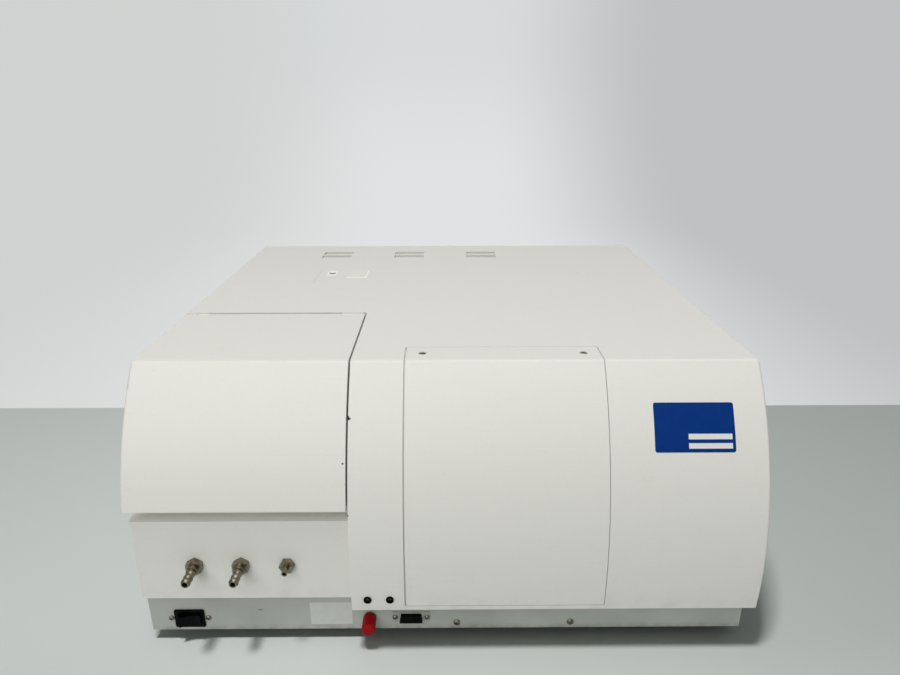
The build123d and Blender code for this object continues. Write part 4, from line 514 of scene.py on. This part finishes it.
def mirrorCoat():
    coat = Finish("mirrorCoat", Metallic=1.0)
    haze = coat.noise(45, 5)
    edge = coat.noise(260, 2)
    coat.set(Base_Color=coat.mix(haze.step(0.45, 0.9), linear(*opticsLook["silver"]), linear(*opticsLook["haze"])),
             Roughness=haze.step(0.4, 0.9) * 0.12 + edge * 0.03 + 0.02)
    coat.set(Normal=coat.bump(edge, 0.00001, 0.15))
    return coat


def ruledFace():
    # the rulings stand along Z; their diffraction colours are painted on as fixed bands across X and Y, a painted
    # reflection
    coat = Finish("ruledGrating", Metallic=1.0)
    across = coat.along[0] + coat.along[1] * 0.7
    sheen = coat.add("ShaderNodeMapRange", None, {0: (across * 46).math("PINGPONG", across * 46, 1.0)})
    paintedRainbow = coat.add("ShaderNodeValToRGB", {"stops": [
        (0.0, linear(150, 158, 186)), (1.0, linear(196, 160, 150)), (0.35, linear(150, 186, 176)),
        (0.65, linear(202, 196, 150))]}, {0: sheen})
    rule = coat.noise(opticsLook["ruleScale"], 0, (1, 1, 0.01))
    coat.set(Base_Color=coat.mix(coat.noise(50, 3).step(0.3, 0.8), paintedRainbow, linear(*opticsLook["haze"])),
             Roughness=rule * 0.1 + 0.12)
    coat.set(Normal=coat.bump(rule, 0.00002, 0.5))
    return coat


dress(quartz("quartzLens", 0.2), "condenser_lenses", "beam_splitter")
dress(quartz("lampQuartz", 0.6), "xenon_lamp", "photomultiplier")
dress(mirrorCoat(), "fold_mirror", "collecting_mirror")
dress(ruledFace(), "excitation_grating", "emission_grating")


# Small coloured parts

smallLook = {
    "red": (146, 2, 8), "redWorn": (164, 12, 16), "silicone": (214, 213, 204), "siliconeAged": (196, 188, 166),
    "lens": (34, 30, 26), "lensHigh": (78, 70, 60), "grille": (212, 210, 203), "grilleDark": (196, 194, 186),
    "board": (18, 78, 46), "track": (40, 118, 70), "pad": (190, 180, 120), "chip": (22, 22, 24),
    "boardTop": 0.0422,
}


def redCap():
    paint = Finish("redCapPlastic", Specular_IOR_Level=0.12)
    mottle = paint.noise(160, 4)
    rib = paint.noise(1500, 2)
    base = paint.mix(mottle.step(0.4, 0.9), linear(*smallLook["red"]), linear(*smallLook["redWorn"]))
    paint.set(Base_Color=base, Roughness=mottle * 0.15 + 0.36)
    paint.set(Normal=paint.bump(rib + mottle, 0.00006, 0.5))
    return paint


def silicone():
    paint = Finish("hoseSilicone", Transmission_Weight=0.25, IOR=1.41)
    cloud = paint.noise(120, 3)
    base = paint.mix(cloud.step(0.3, 0.8), linear(*smallLook["silicone"]), linear(*smallLook["siliconeAged"]))
    paint.set(Base_Color=base, Roughness=cloud * 0.15 + 0.38)
    paint.set(Normal=paint.bump(cloud, 0.0001, 0.3))
    return paint


def lampLens():
    paint = Finish("statusLens", Coat_Roughness=0.05, Specular_IOR_Level=0.5)
    depth = paint.cells(2400)
    base = paint.mix(depth.step(0.2, 0.8), linear(*smallLook["lens"]), linear(*smallLook["lensHigh"]))
    paint.set(Base_Color=base, Roughness=depth * 0.1 + 0.12)
    paint.set(Normal=paint.bump(depth, 0.00005, 0.3))
    return paint


def grilleMoulding():
    paint = Finish("grilleMoulding", Specular_IOR_Level=0.4)
    grain = paint.noise(1100, 2)
    dust = paint.noise(70, 4).step(0.4, 0.8)
    base = paint.mix(dust, linear(*smallLook["grille"]), linear(*smallLook["grilleDark"]))
    paint.set(Base_Color=base, Roughness=grain * 0.1 + 0.5)
    paint.set(Normal=paint.bump(grain, 0.00006, 0.5))
    return paint


def boardFinish():
    # tracks run both ways across the laminate, and what stands above it is moulded black
    paint = Finish("boardLaminate", Specular_IOR_Level=0.5)
    weave = paint.noise(1400, 1)
    first = paint.add("ShaderNodeTexBrick", None, {0: paint.place, "Scale": 70.0, "Mortar Size": 0.03}, 1)
    second = paint.add("ShaderNodeTexBrick", None, {0: paint.stretched((2.3, 0.6, 1)), "Scale": 160.0,
                                                    "Mortar Size": 0.05}, 1)
    pads = paint.cells(260, (1, 1, 0)).step(0.12, 0.07)
    base = paint.mix((first * 0.6).most(second * 0.8), linear(*smallLook["board"]), linear(*smallLook["track"]))
    base = paint.mix(pads, base, linear(*smallLook["pad"]))
    above = paint.along[2].step(smallLook["boardTop"] - 0.0002, smallLook["boardTop"] + 0.0002)
    base = paint.mix(above, base, linear(*smallLook["chip"]))
    paint.set(Base_Color=base, Roughness=weave * 0.1 + above * 0.2 + 0.28)
    paint.set(Normal=paint.bump(weave + first * 0.5, 0.00005, 0.4))
    return paint


dress(redCap(), "red_cap")
dress(silicone(), "chamber_hoses")
dress(lampLens(), "status_lamps")
dress(grilleMoulding(), "vent_grilles")
dress(boardFinish(), "circuit_board")
print("finishes made")


# Labels: bare films laid on the cover and the base

frontArc = {"y": 0.007, "z": 0.091, "radius": 0.303}
flats = {"topZ": 0.296, "baseY": -0.270}
labels = {
    "frontSticker": {"across": (0.1995, 0.2770), "up": (0.2206, 0.2620), "corner": 0.0022, "thick": 0.00012,
                     "grid": (40, 28)},
    "baseLabel": {"across": (-0.1420, -0.0985), "up": (0.0200, 0.0480), "corner": 0.0006, "thick": 0.00010,
                  "grid": (8, 8)},
    "topLabel": {"across": (-0.1430, -0.1125), "up": (0.0960, 0.1400), "corner": 0.0006, "thick": 0.00010,
                 "grid": (8, 8)},
    "topTab": {"across": (-0.1720, -0.1575), "up": (0.1100, 0.1390), "corner": 0.0072, "thick": 0.00010,
               "grid": (24, 12)},
}
labelLook = {
    "blue": (0, 50, 122), "blueFaded": (5, 58, 132), "white": (226, 227, 226), "silver": (202, 205, 200),
    "silverDull": (186, 190, 184), "paper": (231, 231, 224), "paperAged": (225, 223, 212),
    "edge": (250, 251, 249), "tab": (248, 249, 247), "tabWorn": (238, 240, 236), "mark": (96, 98, 92),
    # low and high corners of bare boxes on a film, and how soft their edges are across and up
    "blueFields": [((0.42, 0.27), (0.96, 0.38)), ((0.42, 0.08), (0.96, 0.19))],
    "paperFields": [((0.02, 0.0), (0.99, 0.12)), ((0.93, 0.0), (0.99, 0.98))],
    "softAcross": (0.004, -0.002), "softUp": (0.006, -0.004),
    "arc": {"bend": 1.1, "low": 0.38, "thick": (0.13, 0.07), "reach": (0.36, 0.28)},
}


def roundedSheet(name, wrap, finish):
    # Two skins over a grid: each row is as wide as the rounded corners leave it,
    # and both skins meet at half their thickness along the border.
    spec = labels[name]
    (left, right), (low, high), (rows, columns) = spec["across"], spec["up"], spec["grid"]
    half, tall, corner, thick = (right - left) / 2, (high - low) / 2, spec["corner"], spec["thick"]
    v = np.concatenate([[-1.0], -np.cos(np.linspace(0, math.pi, rows)), [1.0]])[:, None]
    u = np.concatenate([[-1.0], np.linspace(-1, 1, columns), [1.0]])[None, :]
    over = np.clip(np.abs(v) * tall - (tall - corner), 0, corner)
    width = half - corner + np.sqrt(corner ** 2 - over ** 2)
    x, y = u * width, v * tall + 0 * u
    inner = np.ones((rows + 2, columns + 2))
    inner[[0, -1], :] = 0
    inner[:, [0, -1]] = 0
    uv = np.stack([(x / half + 1) / 2, (y / tall + 1) / 2], axis=2)
    made = []
    for side in (1, -1):
        lift = thick / 2 * (1 + side * inner)
        points = wrap(x + (left + right) / 2, y + (low + high) / 2, lift)
        made.append(surface(name, points[:, ::side], finish, uv[:, ::side]))
    top, under = made
    shell = bmesh.new()
    shell.from_mesh(top.data)
    shell.from_mesh(under.data)
    bmesh.ops.remove_doubles(shell, verts=shell.verts, dist=1e-7)
    shell.to_mesh(top.data)
    shell.free()
    bpy.data.objects.remove(under)
    top.name = name
    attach(top, "root")
    return top


def onArc(x, z, lift):
    a = frontArc
    turn = np.arcsin((z - a["z"]) / a["radius"])
    reach = a["radius"] + lift
    return np.stack([x, a["y"] - reach * np.cos(turn), a["z"] + reach * np.sin(turn)], axis=2)


def onTop(x, y, lift):
    return np.stack([x, y, flats["topZ"] + lift], axis=2)


def onBase(x, z, lift):
    return np.stack([x, flats["baseY"] - lift, z], axis=2)


def film(name, colour, faded, roughness, fields=(), fieldColour=None, mark=None):
    # fields are boxes on the film's own map, and mark is the colour of an arc
    paint = Finish(name, Specular_IOR_Level=0.12)
    spread = paint.add("ShaderNodeUVMap", {"uv_map": "UVMap"})
    u, v = (paint.add("ShaderNodeSeparateXYZ", None, {0: spread}, i) for i in range(2))
    wear = paint.noise(130, 5)
    base = paint.mix(wear.step(0.4, 0.85) * 0.5, linear(*colour), linear(*faded))
    for (u0, v0), (u1, v1) in fields:
        inside = abs(u - (u0 + u1) / 2).step(*((u1 - u0) / 2 + soft for soft in labelLook["softAcross"]))
        inside = inside * abs(v - (v0 + v1) / 2).step(*((v1 - v0) / 2 + soft for soft in labelLook["softUp"]))
        base = paint.mix(inside, base, linear(*fieldColour))
    if mark is not None:
        # an arc, low in the middle
        bow, side = labelLook["arc"], u - 0.5
        arc = abs(v - side * side * bow["bend"] - bow["low"]).step(*bow["thick"]) * abs(side).step(*bow["reach"])
        base = paint.mix(arc, base, linear(*mark))
    paint.set(Base_Color=base, Roughness=wear * 0.2 + roughness)
    paint.set(Normal=paint.bump(wear, 0.00006, 0.3))
    return paint


blueFilm = film("blueFilm", labelLook["blue"], labelLook["blueFaded"], 0.34, labelLook["blueFields"],
                labelLook["white"])
silverFilm = film("silverFilm", labelLook["silver"], labelLook["silverDull"], 0.38)
paperFilm = film("paperFilm", labelLook["paper"], labelLook["paperAged"], 0.5, labelLook["paperFields"],
                 labelLook["edge"])
tabFilm = film("tabFilm", labelLook["tab"], labelLook["tabWorn"], 0.4, mark=labelLook["mark"])
roundedSheet("frontSticker", onArc, blueFilm)
roundedSheet("baseLabel", onBase, silverFilm)
roundedSheet("topLabel", onTop, paperFilm)
roundedSheet("topTab", onTop, tabFilm)
print("labels made")
